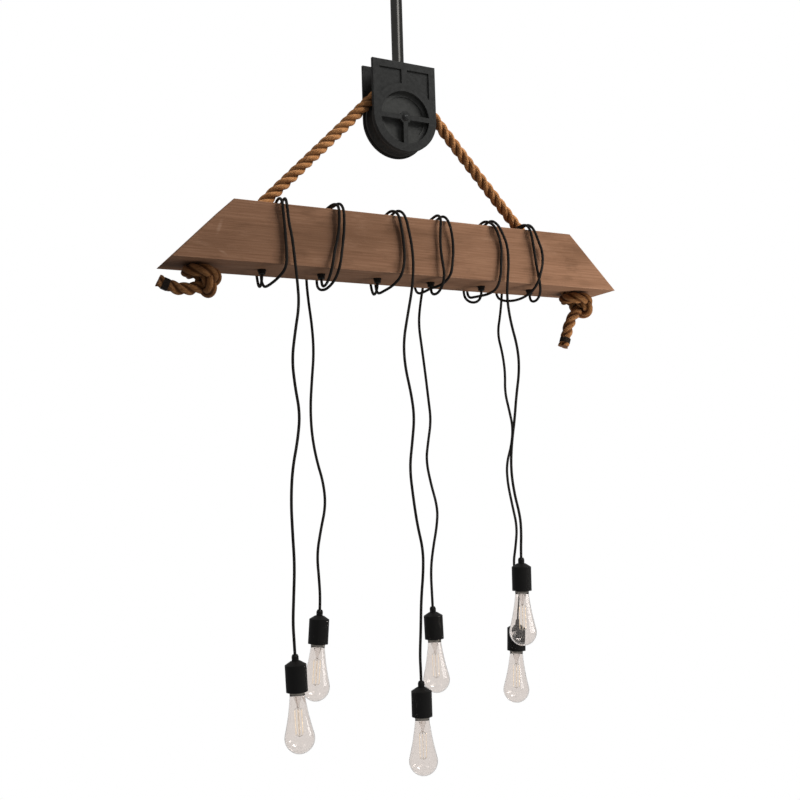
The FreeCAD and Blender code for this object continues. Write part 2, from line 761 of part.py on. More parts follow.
def make_cover_screws():
    """Sunk wood screws that hold the cover."""
    screws = []
    for place in cover_screw_places():
        head = Part.makeCone(cover_screw_radius, cover_screw_head_radius, cover_screw_head_height,
                             place - UP * cover_screw_head_height)
        shank = rod(place - UP * cover_screw_length, place, cover_screw_radius)
        screws.append(shank.fuse(head).removeSplitter())
    return screws


def make_glands():
    """The cord glands' bodies: a flange under the timber and a shank in its hole."""
    bore = cord_radius + cord_fit
    bodies = []
    for gland in gland_places():
        low = gland - UP * gland_flange_height
        top = gland + UP * gland_shank_length
        body = rod(low, gland, gland_flange_radius).fuse(rod(gland, top, gland_shank_radius)).removeSplitter()
        bodies.append(body.cut(rod(low, top, bore)))
    return bodies


def make_gland_nuts():
    """The round clamping nuts under the glands."""
    nut_top = -gland_flange_height
    nut_low = nut_top - gland_nut_height
    bend = gland_nut_round * (1 - math.sqrt(0.5))
    nut = turned(
        (cord_radius + cord_fit, nut_top),
        to(gland_nut_radius, nut_top),
        to(gland_nut_radius, nut_low + gland_nut_round),
        rounded((gland_nut_radius - bend, nut_low + bend), (gland_nut_radius - gland_nut_round, nut_low)),
        to(cord_radius + cord_fit, nut_low),
    )
    nuts = []
    for gland in gland_places():
        placed = nut.copy()
        placed.translate(gland)
        nuts.append(placed)
    return nuts


def make_terminal_block():
    """The block that joins the supply to the six cords, with a screw hole over each lead."""
    block = Part.makeBox(terminal_length, terminal_width, terminal_height,
                         Vector(-terminal_length / 2, -terminal_width / 2, channel_floor_z))
    depth = terminal_length / 4
    top_z = channel_floor_z + terminal_height
    for side in (-1, 1):
        for lane in (-1, 0, 1):
            screw = Vector(side * (terminal_length / 2 - depth / 2), lane * terminal_pitch, top_z)
            block = block.cut(rod(screw - UP * (terminal_height / 3), screw, terminal_hole_radius))
    return block


def make_leads():
    """The cords inside the timber, from the terminal block along the channel and down through each gland."""
    leads = []
    for index, gland in enumerate(gland_places()):
        side = -1 if gland.x < 0 else 1
        rank = gland_count // 2 - 1 - index if side < 0 else index - gland_count // 2
        lane = (rank - 1) * terminal_pitch
        entry = lead_entry(gland)
        bend = lead_bend(gland)
        rise = entry - bend
        block_end = Vector(side * terminal_length / 2, lane, channel_floor_z + terminal_height / 2)
        corner = entry + rise * (lead_height / rise.z)
        points = [block_end, block_end + Vector(side * lead_start, 0, 0)]
        if rank > 0:
            points.append(corner + Vector(-side * lead_approach, lane / 2, lead_arch))
        points.append(corner)
        if abs(entry.x - gland.x) > cord_fit:
            points.append(bend)
        points.append(gland - UP * gland_flange_height)
        leads.append(cord(f"lead {index + 1}", points))
    return leads


def winding_points(lamp):
    """The route of a cord from its gland round the timber to where it hangs free."""
    leave_x, leave_z = lamp["drop"][0]
    leave = over_timber(leave_x, lamp["side"] * hang_offset, leave_z + swing_gap / 2)
    return [over_timber(*point) for point in lamp["winding"]] + [leave]


def lamp_axis(lamp):
    """The direction from a lamp holder's neck to its bulb."""
    lean = math.radians(lamp["lean"])
    return Vector(math.sin(lean), 0, -math.cos(lean))


def neck_place(lamp):
    """The top of a lamp holder's neck."""
    x, z = lamp["neck"]
    return over_timber(x, lamp["side"] * hang_offset, z)


def drop_points(lamp):
    """The route of a cord from where it hangs free into its lamp holder."""
    points = [over_timber(x, lamp["side"] * hang_offset, z) for x, z in lamp["drop"]]
    points[0] = points[0] - UP * (swing_gap / 2)
    neck = neck_place(lamp)
    axis = lamp_axis(lamp)
    points.append(neck - axis * (2 * cord_in_neck))
    points.append(neck + axis * cord_in_neck)
    return points


def placed_on(lamp, shape):
    """A shape drawn with its axis down -Z, set under the end of a lamp's cord."""
    placed = shape.copy()
    placed.rotate(Vector(), DEEP, -lamp["lean"])
    placed.translate(neck_place(lamp))
    return placed


shoulder_z = -neck_height - shoulder_height
seam_z = shoulder_z - cap_skirt
socket_bottom_z = shoulder_z - socket_length
mouth_floor_z = socket_bottom_z + socket_mouth_depth


def make_socket_cap():
    """The holder's cap: a neck that grips the cord, a sloping shoulder and a short skirt."""
    bore = cord_radius + cord_fit
    inside = socket_radius - cap_wall
    return turned(
        (bore, 0),
        to(neck_top_radius, 0),
        to(neck_radius, -neck_round_height),
        to(neck_radius, -neck_height),
        to(shoulder_start_radius, -neck_height),
        to(socket_radius, shoulder_z),
        to(socket_radius, seam_z),
        to(inside, seam_z),
        to(inside, shoulder_z),
        to(shoulder_start_radius - cap_wall, -neck_height - cap_wall),
        to(bore, -neck_height - cap_wall),
    )


def make_socket_shell():
    """The holder's body with its wire chamber and mouth, the metal screw shell and the centre contact."""
    spigot = socket_radius - cap_wall - spigot_gap
    chamber = spigot - spigot_wall
    chamber_floor = seam_z - wire_chamber_depth
    body = turned(
        (0, chamber_floor),
        to(chamber, chamber_floor),
        to(chamber, seam_z + spigot_height),
        to(spigot, seam_z + spigot_height),
        to(spigot, seam_z),
        to(socket_radius, seam_z),
        to(socket_radius, socket_bottom_z),
        to(socket_mouth_radius, socket_bottom_z),
        to(socket_mouth_radius, mouth_floor_z),
        to(0, mouth_floor_z),
    )
    shell_top = mouth_floor_z
    shell_low = shell_top - screw_shell_length
    shell = turned(
        (socket_mouth_radius - screw_shell_wall, shell_top),
        to(socket_mouth_radius, shell_top),
        to(socket_mouth_radius, shell_low),
        to(socket_mouth_radius - screw_shell_wall, shell_low),
    )
    contact = Part.makeCylinder(contact_radius, contact_height, Vector(0, 0, mouth_floor_z - contact_height))
    return body, shell, contact


base_tip_z = mouth_floor_z - contact_height - bulb_seat_gap
collar_top_z = socket_bottom_z - bulb_seat_gap
collar_low_z = collar_top_z - base_collar_height
thread_start_z = base_tip_z - base_tip_height - base_cone_height


def make_bulb_base():
    """The bulb's screw base: contact tip, threaded sleeve and collar, hollow inside."""
    root = base_thread_radius - base_thread_depth
    inside = root - base_wall
    steps = [to(base_tip_radius, base_tip_z), to(base_tip_radius, base_tip_z - base_tip_height)]
    steps.append(to(root, thread_start_z))
    for turn in range(base_thread_turns):
        crest = thread_start_z - base_thread_pitch * (turn + 0.5)
        steps.append(to(base_thread_radius, crest))
        steps.append(to(root, crest - base_thread_pitch / 2))
    steps.append(to(root, collar_top_z))
    steps.append(to(base_collar_radius, collar_top_z))
    steps.append(to(base_collar_radius, collar_low_z))
    steps.append(to(inside, collar_low_z))
    steps.append(to(inside, thread_start_z - base_wall))
    steps.append(to(0, thread_start_z - base_wall))
    return turned((0, base_tip_z), *steps)


def glass_profile(inset):
    """The neck, the place where the side meets the round end, a point half way down the side, and the tip."""
    centre_z = collar_low_z - bulb_length + bulb_radius
    radius = bulb_radius - inset
    angle = math.radians(bulb_side_angle)
    neck = (bulb_neck_radius - inset, collar_low_z)
    joint = (radius * math.cos(angle), centre_z + radius * math.sin(angle))
    half_way = ((neck[0] + joint[0]) / 2 - bulb_side_hollow, (neck[1] + joint[1]) / 2)
    low = math.radians(45)
    end_middle = (radius * math.cos(low), centre_z - radius * math.sin(low))
    return neck, half_way, joint, end_middle, (0, centre_z - radius)


def make_bulb_glass():
    """The clear envelope: hollow sides that run into a round end."""
    neck, half_way, joint, end_middle, tip = glass_profile(0)
    in_neck, in_half_way, in_joint, in_end_middle, in_tip = glass_profile(bulb_wall)
    return turned(
        neck,
        rounded(half_way, joint),
        rounded(end_middle, tip),
        to(*in_tip),
        rounded(in_end_middle, in_joint),
        rounded(in_half_way, in_neck),
    )


def make_filament():
    """The glass foot inside the bulb with its centre rod and the standing wires between two small discs."""
    foot_z = collar_low_z
    press_z = foot_z - stem_press_length
    cage_low = press_z - filament_length
    root = base_thread_radius - base_thread_depth - base_wall
    shape = turned(
        (0, foot_z + base_collar_height),
        to(root, foot_z + base_collar_height),
        to(root, foot_z),
        to(stem_press_radius, foot_z - base_collar_height),
        to(stem_press_tip_radius, press_z),
        to(0, press_z),
    )
    shape = shape.fuse(Part.makeCylinder(filament_rod_radius, filament_length, Vector(0, 0, cage_low)))
    for low in (press_z - filament_disc, cage_low):
        shape = shape.fuse(Part.makeCylinder(filament_spread, filament_disc, Vector(0, 0, low)))
    ring = filament_spread - 2 * filament_rod_radius
    for index in range(filament_count):
        angle = 2 * math.pi * index / filament_count
        place = Vector(ring * math.cos(angle), ring * math.sin(angle), cage_low)
        shape = shape.fuse(Part.makeCylinder(filament_rod_radius, filament_length, place))
    return shape.removeSplitter()


os.makedirs("parts", exist_ok=True)

save("canopy", make_canopy())
save("mounting_bar", make_mounting_bar())
save("stem", make_stem())
collar, set_screw = make_collar()
save("stem_collar", collar)
save("collar_screw", set_screw)
save("head_block", make_head_block())
save("front_cheek", make_cheek(-1))
save("rear_cheek", make_cheek(1))
save("cheek_screws", *make_cheek_screws())
save("axle_pin", make_axle())
save("axle_nut", make_axle_nut())
save("sheave", make_sheave())
save("sheave_bush", make_bush())
save("rope", make_rope())
save("left_knot", make_knot("left tail", -1, left_hole_reach, left_tail))
save("right_knot", make_knot("right tail", 1, right_hole_reach, right_tail))
save("rope_whippings", make_whipping(left_tail), make_whipping(right_tail))
save("beam", make_beam())
save("channel_cover", make_cover())
save("cover_screws", *make_cover_screws())
save("cord_glands", *make_glands())
save("gland_nuts", *make_gland_nuts())
save("terminal_block", make_terminal_block())
save("inner_leads", *make_leads())

socket_cap = make_socket_cap()
socket_shell = make_socket_shell()
bulb_base = make_bulb_base()
bulb_glass = make_bulb_glass()
filament = make_filament()
for number, lamp in enumerate(lamps, start=1):
    route = winding_points(lamp)
    print(f"winding {number}: least gap to itself {gap_to_itself(route, cord_radius):.2f} mm")
    save(f"cord_{number}_wrap", cord(f"cord {number} winding", route))
    save(f"cord_{number}_drop", cord(f"cord {number} drop", drop_points(lamp)))
    save(f"socket_{number}_cap", placed_on(lamp, socket_cap))
    save(f"socket_{number}_shell", *(placed_on(lamp, piece) for piece in socket_shell))
    save(f"bulb_{number}_base", placed_on(lamp, bulb_base), placed_on(lamp, filament))
    save(f"bulb_{number}_glass", placed_on(lamp, bulb_glass))
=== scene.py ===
# %% [markdown]
# # A timber beam pendant light
# A mitred timber hangs on a rope that runs over a pulley block under the ceiling. Six bare lamps hang from
# the timber on cords that are wound round it. The solid model already has every size and place, so this
# lesson only dresses it: it lays the rope, ties the knots, runs the cords, blows the bulbs and gives each
# surface its finish.

# %% The solid model as a frame
import math

import bpy
import numpy as np
from mathutils import Matrix


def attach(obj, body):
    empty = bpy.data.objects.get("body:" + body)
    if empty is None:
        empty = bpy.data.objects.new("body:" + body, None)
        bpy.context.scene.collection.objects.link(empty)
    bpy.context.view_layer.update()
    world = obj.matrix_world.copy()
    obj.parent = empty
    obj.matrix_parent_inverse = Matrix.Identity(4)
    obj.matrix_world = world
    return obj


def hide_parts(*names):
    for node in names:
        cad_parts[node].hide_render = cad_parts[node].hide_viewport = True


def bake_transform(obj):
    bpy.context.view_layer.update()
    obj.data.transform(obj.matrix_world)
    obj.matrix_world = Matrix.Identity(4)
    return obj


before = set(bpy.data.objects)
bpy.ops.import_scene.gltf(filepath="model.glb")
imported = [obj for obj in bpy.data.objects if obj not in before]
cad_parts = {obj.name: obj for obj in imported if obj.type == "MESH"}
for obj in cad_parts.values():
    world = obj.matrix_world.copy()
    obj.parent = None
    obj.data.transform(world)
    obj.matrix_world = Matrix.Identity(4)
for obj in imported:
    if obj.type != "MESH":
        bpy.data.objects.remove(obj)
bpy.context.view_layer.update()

# %% [markdown]
# ## The camera
# The photograph looks at the light from the front left and a little from below. A camera could be aimed
# with a Track To constraint, but its roll would then be lost, so its three axes are worked out from three
# angles.

# %% Camera
camera_place = (-1.0495, -2.0177, -1.1931)
camera_yaw = math.radians(27.04)
camera_pitch = math.radians(5.16)
camera_roll = math.radians(-1.66)
ahead = np.array([math.sin(camera_yaw) * math.cos(camera_pitch),
                  math.cos(camera_yaw) * math.cos(camera_pitch), math.sin(camera_pitch)])
level = np.array([math.cos(camera_yaw), -math.sin(camera_yaw), 0.0])
upward = np.cross(level, ahead)
side_axis = math.cos(camera_roll) * level + math.sin(camera_roll) * upward
top_axis = math.cos(camera_roll) * upward - math.sin(camera_roll) * level
lens = bpy.data.cameras.new("photo_camera")
lens.sensor_width = 36.0
lens.lens = 46.485
camera = bpy.data.objects.new("photo_camera", lens)
bpy.context.scene.collection.objects.link(camera)
axes = np.eye(4)
axes[:3, :3] = np.stack([side_axis, top_axis, -ahead], axis=1)
axes[:3, 3] = camera_place
camera.matrix_world = Matrix(axes.tolist())
bpy.context.scene.camera = camera
print("camera at", camera_place)

# %% [markdown]
# ## Points into meshes
# Every new piece here is a grid of points: rows run along it and columns run round it. One function turns
# such grids into a mesh. Drawing each face by hand with bmesh would also work, but whole arrays are shorter
# and quick.

# %% From grids of points to an object
MM = 0.001


def skin(grid, closed_rows=False, uv=None, hollow=None):
    """Faces over a grid of rows x columns x 3 points whose columns go round. Each face joins four neighbours.
    closed_rows joins the last row to the first; otherwise a flat face closes the first and the last ring.
    uv is the distance along at each row, and hollow is how deep in a crease each point lies."""
    rows, columns = grid.shape[:2]
    index = np.arange(rows * columns).reshape(rows, columns)
    beside = np.roll(index, -1, axis=1)
    upper = np.roll(index, -1, axis=0) if closed_rows else index[1:]
    upper_beside = np.roll(beside, -1, axis=0) if closed_rows else beside[1:]
    count = rows if closed_rows else rows - 1
    quads = np.stack([index[:count], beside[:count], upper_beside, upper], axis=-1).reshape(-1, 4)
    ends = [] if closed_rows else [index[0, ::-1], index[-1]]
    around = np.arange(columns + 1) / columns
    along = np.arange(rows + 1.0) if uv is None else np.append(uv, 2 * uv[-1] - uv[-2])
    low, high = along[:count, None], along[1:count + 1, None]
    left, right = around[None, :-1], around[None, 1:]
    corners = [(left, low), (right, low), (right, high), (left, high)]
    chart = np.stack([np.stack(np.broadcast_arrays(u, v), axis=-1) for u, v in corners], axis=2)
    return {"points": grid.reshape(-1, 3), "quads": quads, "ends": ends, "chart": chart.reshape(-1, 2),
            "hollow": np.zeros(rows * columns) if hollow is None else hollow.reshape(-1)}


def make_piece(name, skins, material):
    """One mesh object from several skins, shaded smooth except on flat ends. Its UV map holds turns round
    and distance along, and its hollow attribute tells how deep in a crease each point lies."""
    starts = np.cumsum([0] + [len(s["points"]) for s in skins])
    quads = np.concatenate([s["quads"] + start for s, start in zip(skins, starts)])
    ends = [end + start for s, start in zip(skins, starts) for end in s["ends"]]
    points = np.concatenate([s["points"] for s in skins])
    mesh = bpy.data.meshes.new(name)
    mesh.from_pydata(points.tolist(), [], quads.tolist() + [end.tolist() for end in ends])
    chart = np.concatenate([s["chart"] for s in skins])
    filled = np.zeros((len(mesh.loops), 2))
    filled[:len(chart)] = chart
    mesh.uv_layers.new(name="round").data.foreach_set("uv", filled.ravel())
    depth = mesh.attributes.new("hollow", "FLOAT", "POINT")
    depth.data.foreach_set("value", np.concatenate([s["hollow"] for s in skins]))
    mesh.polygons.foreach_set("use_smooth", np.arange(len(mesh.polygons)) < len(quads))
    mesh.materials.append(material)
    mesh.update()
    piece = bpy.data.objects.new(name, mesh)
    bpy.context.scene.collection.objects.link(piece)
    print(name, "has", len(points), "points")
    return piece


# %% [markdown]
# ## Smooth lines
# Rope and cord bend in one flowing line. The route's points are the control points of a NURBS spline, and
# the places to build on are read back from it. A polyline with rounded corners would look like bent wire.

# %% Reading a line from a spline


def smooth_line(route, spacing):
    """Evenly spaced places on the order 3 NURBS spline whose control points are the route's, in metres."""
    curve = bpy.data.curves.new("line", "CURVE")
    curve.dimensions = "3D"
    spline = curve.splines.new("NURBS")
    spline.points.add(len(route) - 1)
    control = np.ones((len(route), 4))
    control[:, :3] = route
    spline.points.foreach_set("co", control.ravel())
    spline.order_u = 3
    spline.use_endpoint_u = True
    spline.resolution_u = 32
    holder = bpy.data.objects.new("line", curve)
    traced = bpy.data.meshes.new_from_object(holder)
    places = np.zeros(len(traced.vertices) * 3)
    traced.vertices.foreach_get("co", places)
    bpy.data.objects.remove(holder)
    bpy.data.curves.remove(curve)
    bpy.data.meshes.remove(traced)
    places = places.reshape(-1, 3)
    gone = distance_along(places)
    wanted = np.linspace(0, gone[-1], int(round(gone[-1] / spacing)) + 1)
    return np.stack([np.interp(wanted, gone, places[:, axis]) for axis in range(3)], axis=1)


def distance_along(line):
    """The length of the line from its start to each of its places: the running sum of the steps."""
    return np.append(0.0, np.cumsum(np.linalg.norm(np.diff(line, axis=0), axis=1)))


def frames_along(line):
    """The direction of the line and two directions across it at each place, turned only as the bends need.
    Any normal is picked first. Two mirrorings carry each normal to the next place, and the running sum of the
    angles between the carried and the picked ones is then turned back."""
    ahead_of = np.gradient(line, axis=0)
    ahead_of /= np.linalg.norm(ahead_of, axis=1, keepdims=True)
    steady = np.eye(3)[np.argmin(np.abs(ahead_of), axis=1)]
    normal = steady - (steady * ahead_of).sum(1, keepdims=True) * ahead_of
    normal /= np.linalg.norm(normal, axis=1, keepdims=True)
    other = np.cross(ahead_of, normal)

    def mirrored(vectors, mirrors):
        """Each vector less twice its share along the mirror's own direction."""
        share = (vectors * mirrors).sum(1, keepdims=True) / (mirrors * mirrors).sum(1, keepdims=True)
        return vectors - 2 * share * mirrors

    step = np.diff(line, axis=0)
    half_turned = mirrored(ahead_of[:-1], step)
    carried = mirrored(mirrored(normal[:-1], step), ahead_of[1:] - half_turned)
    slip = np.arctan2((carried * other[1:]).sum(1), (carried * normal[1:]).sum(1))
    turn = np.append(0.0, np.cumsum(slip))[:, None]
    across = np.cos(turn) * normal + np.sin(turn) * other
    return ahead_of, across, np.cross(ahead_of, across)


def tube(line, radius, sides):
    """A round skin along a line: each ring is its place plus the radius times (cos, sin) of the angle."""
    _, across, other = frames_along(line)
    angle = np.arange(sides) * 2 * math.pi / sides
    ring = np.cos(angle)[None, :, None] * across[:, None] + np.sin(angle)[None, :, None] * other[:, None]
    return skin(line[:, None] + radius * ring, uv=distance_along(line))


def turned_skin(profile, sides=64, closed=False):
    """A skin of revolution: each (radius, height) of the profile, listed upwards, is carried round Z."""
    profile = np.asarray(profile, float)
    angle = np.arange(sides) * 2 * math.pi / sides
    grid = np.stack(np.broadcast_arrays(profile[:, :1] * np.cos(angle), profile[:, :1] * np.sin(angle),
                                        profile[:, 1:]), axis=-1)
    return skin(grid, closed_rows=closed)


# %% [markdown]
# ## Building finishes
# A finish is a small graph of shader nodes. These helpers add a node, set or link its inputs, and do sums,
# so a finish reads as a few lines. Painting image textures would be the other way, but noise follows any
# shape.

# %% Helpers for shader nodes


def add(tree, kind, inputs=None, **settings):
    """Adds a shader node and gives each named or numbered input a constant or a link."""
    made = tree.nodes.new("ShaderNode" + kind)
    for key, value in settings.items():
        setattr(made, key, value)
    for key, value in (inputs or {}).items():
        if isinstance(value, bpy.types.NodeSocket):
            tree.links.new(value, made.inputs[key])
        else:
            made.inputs[key].default_value = value
    return made


def calc(tree, operation, *values):
    """The result of a Math node on one, two or three values."""
    return add(tree, "Math", dict(enumerate(values)), operation=operation).outputs[0]


def mixed(tree, share, first, second):
    """The colour that lies a share of the way from the first colour to the second."""
    return add(tree, "Mix", {0: share, 6: first, 7: second}, data_type="RGBA").outputs[2]


def spread(tree, value, low, high, start=0.0, end=1.0):
    """A value carried from low..high to start..end by a smooth step, and held at both ends."""
    span = {0: value, 1: low, 2: high, 3: start, 4: end}
    return add(tree, "MapRange", span, interpolation_type="SMOOTHSTEP").outputs[0]


def noise(tree, vector, scale, detail=4.0, roughness=0.55):
    """A noise value at a place."""
    made = add(tree, "TexNoise", {"Vector": vector, "Scale": scale, "Detail": detail, "Roughness": roughness})
    return made.outputs[0]


def object_place(tree, scale=(1, 1, 1), move=(0, 0, 0)):
    """Object coordinates, stretched and moved by a Mapping node."""
    place = add(tree, "TexCoord").outputs["Object"]
    return add(tree, "Mapping", {"Vector": place, "Location": move, "Scale": scale}).outputs[0]


def finish(name, **constants):
    """A material with one Principled BSDF whose constant inputs are set on its own sockets."""
    material = bpy.data.materials.new(name)
    material.use_nodes = True
    tree = material.node_tree
    tree.nodes.clear()
    shader = add(tree, "BsdfPrincipled")
    add(tree, "OutputMaterial", {"Surface": shader.outputs[0]})
    for key, value in constants.items():
        shader.inputs[key.replace("_", " ")].default_value = value
    return material, tree, shader


def link(tree, shader, **sources):
    """Links values that change over the surface to the shader's inputs."""
    for key, source in sources.items():
        tree.links.new(source, shader.inputs[key.replace("_", " ")])


def bumped(tree, height, distance):
    """A normal from a height that is measured in distances, in metres."""
    return add(tree, "Bump", {"Height": height, "Distance": distance, "Strength": 1.0}).outputs[0]


def new_group(name, inputs, outputs):
    """An empty node group with named inputs and outputs."""
    group = bpy.data.node_groups.new(name, "ShaderNodeTree")
    for label, kind in inputs:
        group.interface.new_socket(label, in_out="INPUT", socket_type="NodeSocket" + kind)
    for label, kind in outputs:
        group.interface.new_socket(label, in_out="OUTPUT", socket_type="NodeSocket" + kind)
    return group, group.nodes.new("NodeGroupInput").outputs, group.nodes.new("NodeGroupOutput").inputs


def place_group(tree, group, inputs):
    """The outputs of a node group, placed in a material with its inputs set or linked."""
    return add(tree, "Group", inputs, node_tree=group).outputs


# %% [markdown]
# ## Two effects that several finishes share
# Cast, painted and moulded surfaces all have a fine speckle in colour and height. Rope, thread and cord all
# have fibres that run along and twist round. Each effect is a node group, built once, and every finish that
# needs it places it with its own values. Metal and plastic need no more than speckle, so one function makes
# such a finish.

# %% Speckle group
speckle, given, result = new_group(
    "speckle", [("Vector", "Vector"), ("Scale", "Float"), ("Dark", "Color"), ("Light", "Color")],
    [("Color", "Color"), ("Height", "Float")])
coarse = noise(speckle, given["Vector"], given["Scale"], 5.0, 0.6)
finer, coarse_share = 7.0, 0.55
fine_scale = calc(speckle, "MULTIPLY", given["Scale"], finer)
fine = noise(speckle, given["Vector"], fine_scale, 3.0, 0.6)
both = calc(speckle, "MULTIPLY_ADD", fine, 1 - coarse_share, calc(speckle, "MULTIPLY", coarse, coarse_share))
tinted = mixed(speckle, spread(speckle, both, 0.3, 0.7), given["Dark"], given["Light"])
speckle.links.new(tinted, result["Color"])
speckle.links.new(both, result["Height"])
print("group", speckle.name)

# %% Fibre group
fibres, given, result = new_group(
    "fibres", [("Chart", "Vector"), ("Twist", "Float"), ("Across", "Float"), ("Along", "Float")],
    [("Fine", "Float"), ("Broad", "Float")])
parts = add(fibres, "SeparateXYZ", {0: given["Chart"]}).outputs
untwisted = calc(fibres, "MULTIPLY", parts[0], 2 * math.pi)
turn_angle = calc(fibres, "MULTIPLY_ADD", parts[1], given["Twist"], untwisted)
east = calc(fibres, "MULTIPLY", calc(fibres, "COSINE", turn_angle), given["Across"])
north = calc(fibres, "MULTIPLY", calc(fibres, "SINE", turn_angle), given["Across"])
run = calc(fibres, "MULTIPLY", parts[1], given["Along"])
place = add(fibres, "CombineXYZ", {0: east, 1: north, 2: run}).outputs[0]
fibres.links.new(noise(fibres, place, 1.0, 5.0, 0.65), result["Fine"])
broad_scale = 0.23
fibres.links.new(noise(fibres, place, broad_scale, 3.0, 0.5), result["Broad"])
print("group", fibres.name)

# %% A finish of speckle alone


def speckled(name, dark, light, scale, rough, bump, **constants):
    """A finish from the speckle group: two near colours, a span of roughness and a bump height in metres."""
    material, tree, shader = finish(name, **constants)
    marks = place_group(tree, speckle, {"Vector": object_place(tree), "Scale": scale, "Dark": (*dark, 1),
                                        "Light": (*light, 1)})
    link(tree, shader, Base_Color=marks["Color"], Roughness=spread(tree, marks["Height"], 0.3, 0.7, *rough),
         Normal=bumped(tree, marks["Height"], bump))
    print("finish", name)
    return material


# %% [markdown]
# ## Manila
# The rope is manila: golden brown plant fibre. Painted shade darkens the creases between the strands and
# between the yarns. The crease depth is stored on the mesh as an attribute, so the painted shade lies
# exactly where the shape dips.

# %% Manila finish
manila, tree, shader = finish("manila", Specular_IOR_Level=0.15, Sheen_Weight=0.08, Sheen_Roughness=0.5)
chart = add(tree, "UVMap", uv_map="round").outputs[0]
strands = place_group(tree, fibres, {"Chart": chart, "Twist": -14.0, "Across": 9.0, "Along": 90.0})
crease = add(tree, "Attribute", attribute_name="hollow").outputs["Fac"]
dark_straw, light_straw = (0.25, 0.096, 0.029, 1), (0.56, 0.285, 0.118, 1)
# The crease colour is painted shade, laid on by how deep each point lies in a crease.
patch_brown, crease_shade = (0.35, 0.152, 0.05, 1), (0.10, 0.035, 0.008, 1)
straw = mixed(tree, spread(tree, strands["Fine"], 0.32, 0.7), dark_straw, light_straw)
patchy = mixed(tree, spread(tree, strands["Broad"], 0.35, 0.7, 0.0, 0.55), straw, patch_brown)
shaded = mixed(tree, spread(tree, crease, 0.25, 1.1), patchy, crease_shade)
link(tree, shader, Base_Color=shaded, Roughness=spread(tree, strands["Fine"], 0.2, 0.8, 0.9, 0.62),
     Normal=bumped(tree, strands["Fine"], 0.0012))
print("finish", manila.name)

# %% [markdown]
# ## The rope
# A laid rope is three strands twisted together. Three separate helices would do, but they would cross each
# other inside. One skin with a three-lobed section that turns as it runs has the same outside and stays
# closed.

# %% A laid rope along a line
rope_radius = 12.5 * MM
lay_length = 75.0 * MM
strand_radius = 7.2 * MM
strand_offset = 6.2 * MM
yarns_round = 27
yarn_depth = 0.9 * MM
yarn_slant, crest_slant = 38.0, 2.1
crest_start, crest_span = 0.62 * rope_radius, 0.3 * rope_radius
strand_crease, yarn_crease = 1.12, 0.38
bound_radius = 0.94 * rope_radius
bind_fade = 4.0 * MM
flare_length = 12.0 * MM


def laid_rope(line, bands=(), flare=0.0, painted_shade=0.0, sides=162):
    """The section's radius at an angle is where a ray from the middle leaves the nearest of three circles.
    The circles turn once in each lay length. Where a strand stands out, grooves between yarns are cut by one
    less the root of |sin| of the angle. bands are (start, end) lengths where a whipping presses the rope
    round, flare widens its last stretch, and the given amount of painted shade darkens it all."""
    gone = distance_along(line)
    _, across, other = frames_along(line)
    angle = np.arange(sides)[None] * 2 * math.pi / sides
    turned = angle - 2 * math.pi * gone[:, None] / lay_length
    third = 2 * math.pi / 3
    off_crest = (turned + third / 2) % third - third / 2
    off_side = strand_offset * np.sin(off_crest)
    lobe = strand_offset * np.cos(off_crest) + np.sqrt(strand_radius**2 - off_side**2)
    ridge = np.abs(np.sin(0.5 * yarns_round * angle + yarn_slant * gone[:, None] + crest_slant * off_crest))
    stands_out = np.clip((lobe - crest_start) / crest_span, 0, 1)
    reach = lobe - yarn_depth * stands_out * (1 - np.sqrt(ridge))
    # The crease depths, and any shade given for the whole piece, are where the finish lays painted shade.
    hollow = painted_shade + np.clip(strand_crease - stands_out, 0, 1) + yarn_crease * (1 - ridge)**2
    for start, end in bands:
        pressed = np.clip((gone - start) / bind_fade + 1, 0, 1) * np.clip((end - gone) / bind_fade + 1, 0, 1)
        reach += pressed[:, None] * (bound_radius - reach)
    tip = np.clip((gone - gone[-1] + flare_length) / flare_length, 0, 1)[:, None]
    reach *= 1 + flare * tip
    grid = line[:, None] + reach[..., None] * (np.cos(angle)[..., None] * across[:, None]
                                               + np.sin(angle)[..., None] * other[:, None])
    return skin(grid, uv=gone, hollow=hollow)


# %% The rope over the sheave
# Each leg is straight, with one point six diameters from the sheave; four points carry it round the groove.
rope_route = np.array([
    (-460.8, 0, -711.2), (-160.2, 0, -407.0), (-48.2, 0, -289.4), (-14.6, 0, -277.2),
    (16.9, 0, -277.6), (50.1, 0, -290.9), (158.5, 0, -411.8), (437.2, 0, -711.5)]) * MM
rope_line = smooth_line(rope_route, 3.0 * MM)
rope = make_piece("rope_over_sheave", [laid_rope(rope_line)], manila)
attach(rope, "timber_beam")
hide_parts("rope")

# %% [markdown]
# ## The knots
# Under the timber each end of the rope is tied in an overhand knot: the rope comes out of the hole, drops
# into a bight that shows as a round nose, goes once round itself close under the timber, and its tail is
# tucked through the bight. The line was drawn as a chain of points. The turn is shared; way in,
# nose and tail differ.

# %% Overhand knots
knot_turn = [
    (8, -8, -19), (14, 6, -14), (10, 20, -13), (-4, 27, -13), (-18, 21, -13), (-27, 8, -14), (-28, -9, -15),
    (-18, -24, -16), (-1, -31, -17), (15, -27, -19), (27, -13, -23), (30, 3, -28), (22, 10, -36)]
knots = {
    "left": {"middle": -465, "way_in": [(12, 0, 17), (5, 0, 9), (0, 3, -6)],
             "nose": [(2, 10, -18), (5, 16, -31), (9, 15, -43), (13, 6, -52), (15, -8, -56), (14, -21, -51),
                      (11, -26, -41), (8, -20, -30)],
             "tail": [(8, 2, -44), (-8, -6, -48), (-27, -10, -53), (-57, -9, -54), (-89, -8, -40)]},
    "right": {"middle": 468, "way_in": [(-37, 0, 15), (-30, 0, 8), (-14, 3, -8)],
              "nose": [(2, 10, -18), (7, 16, -28), (13, 15, -38), (19, 6, -46), (22, -8, -49), (21, -21, -45),
                       (17, -27, -37), (11, -21, -28)],
              "tail": [(6, 0, -44), (-12, -8, -53), (-29, -9, -79), (-38, -8, -107), (-47, -8, -134)]},
}
beam_underside = -720.0
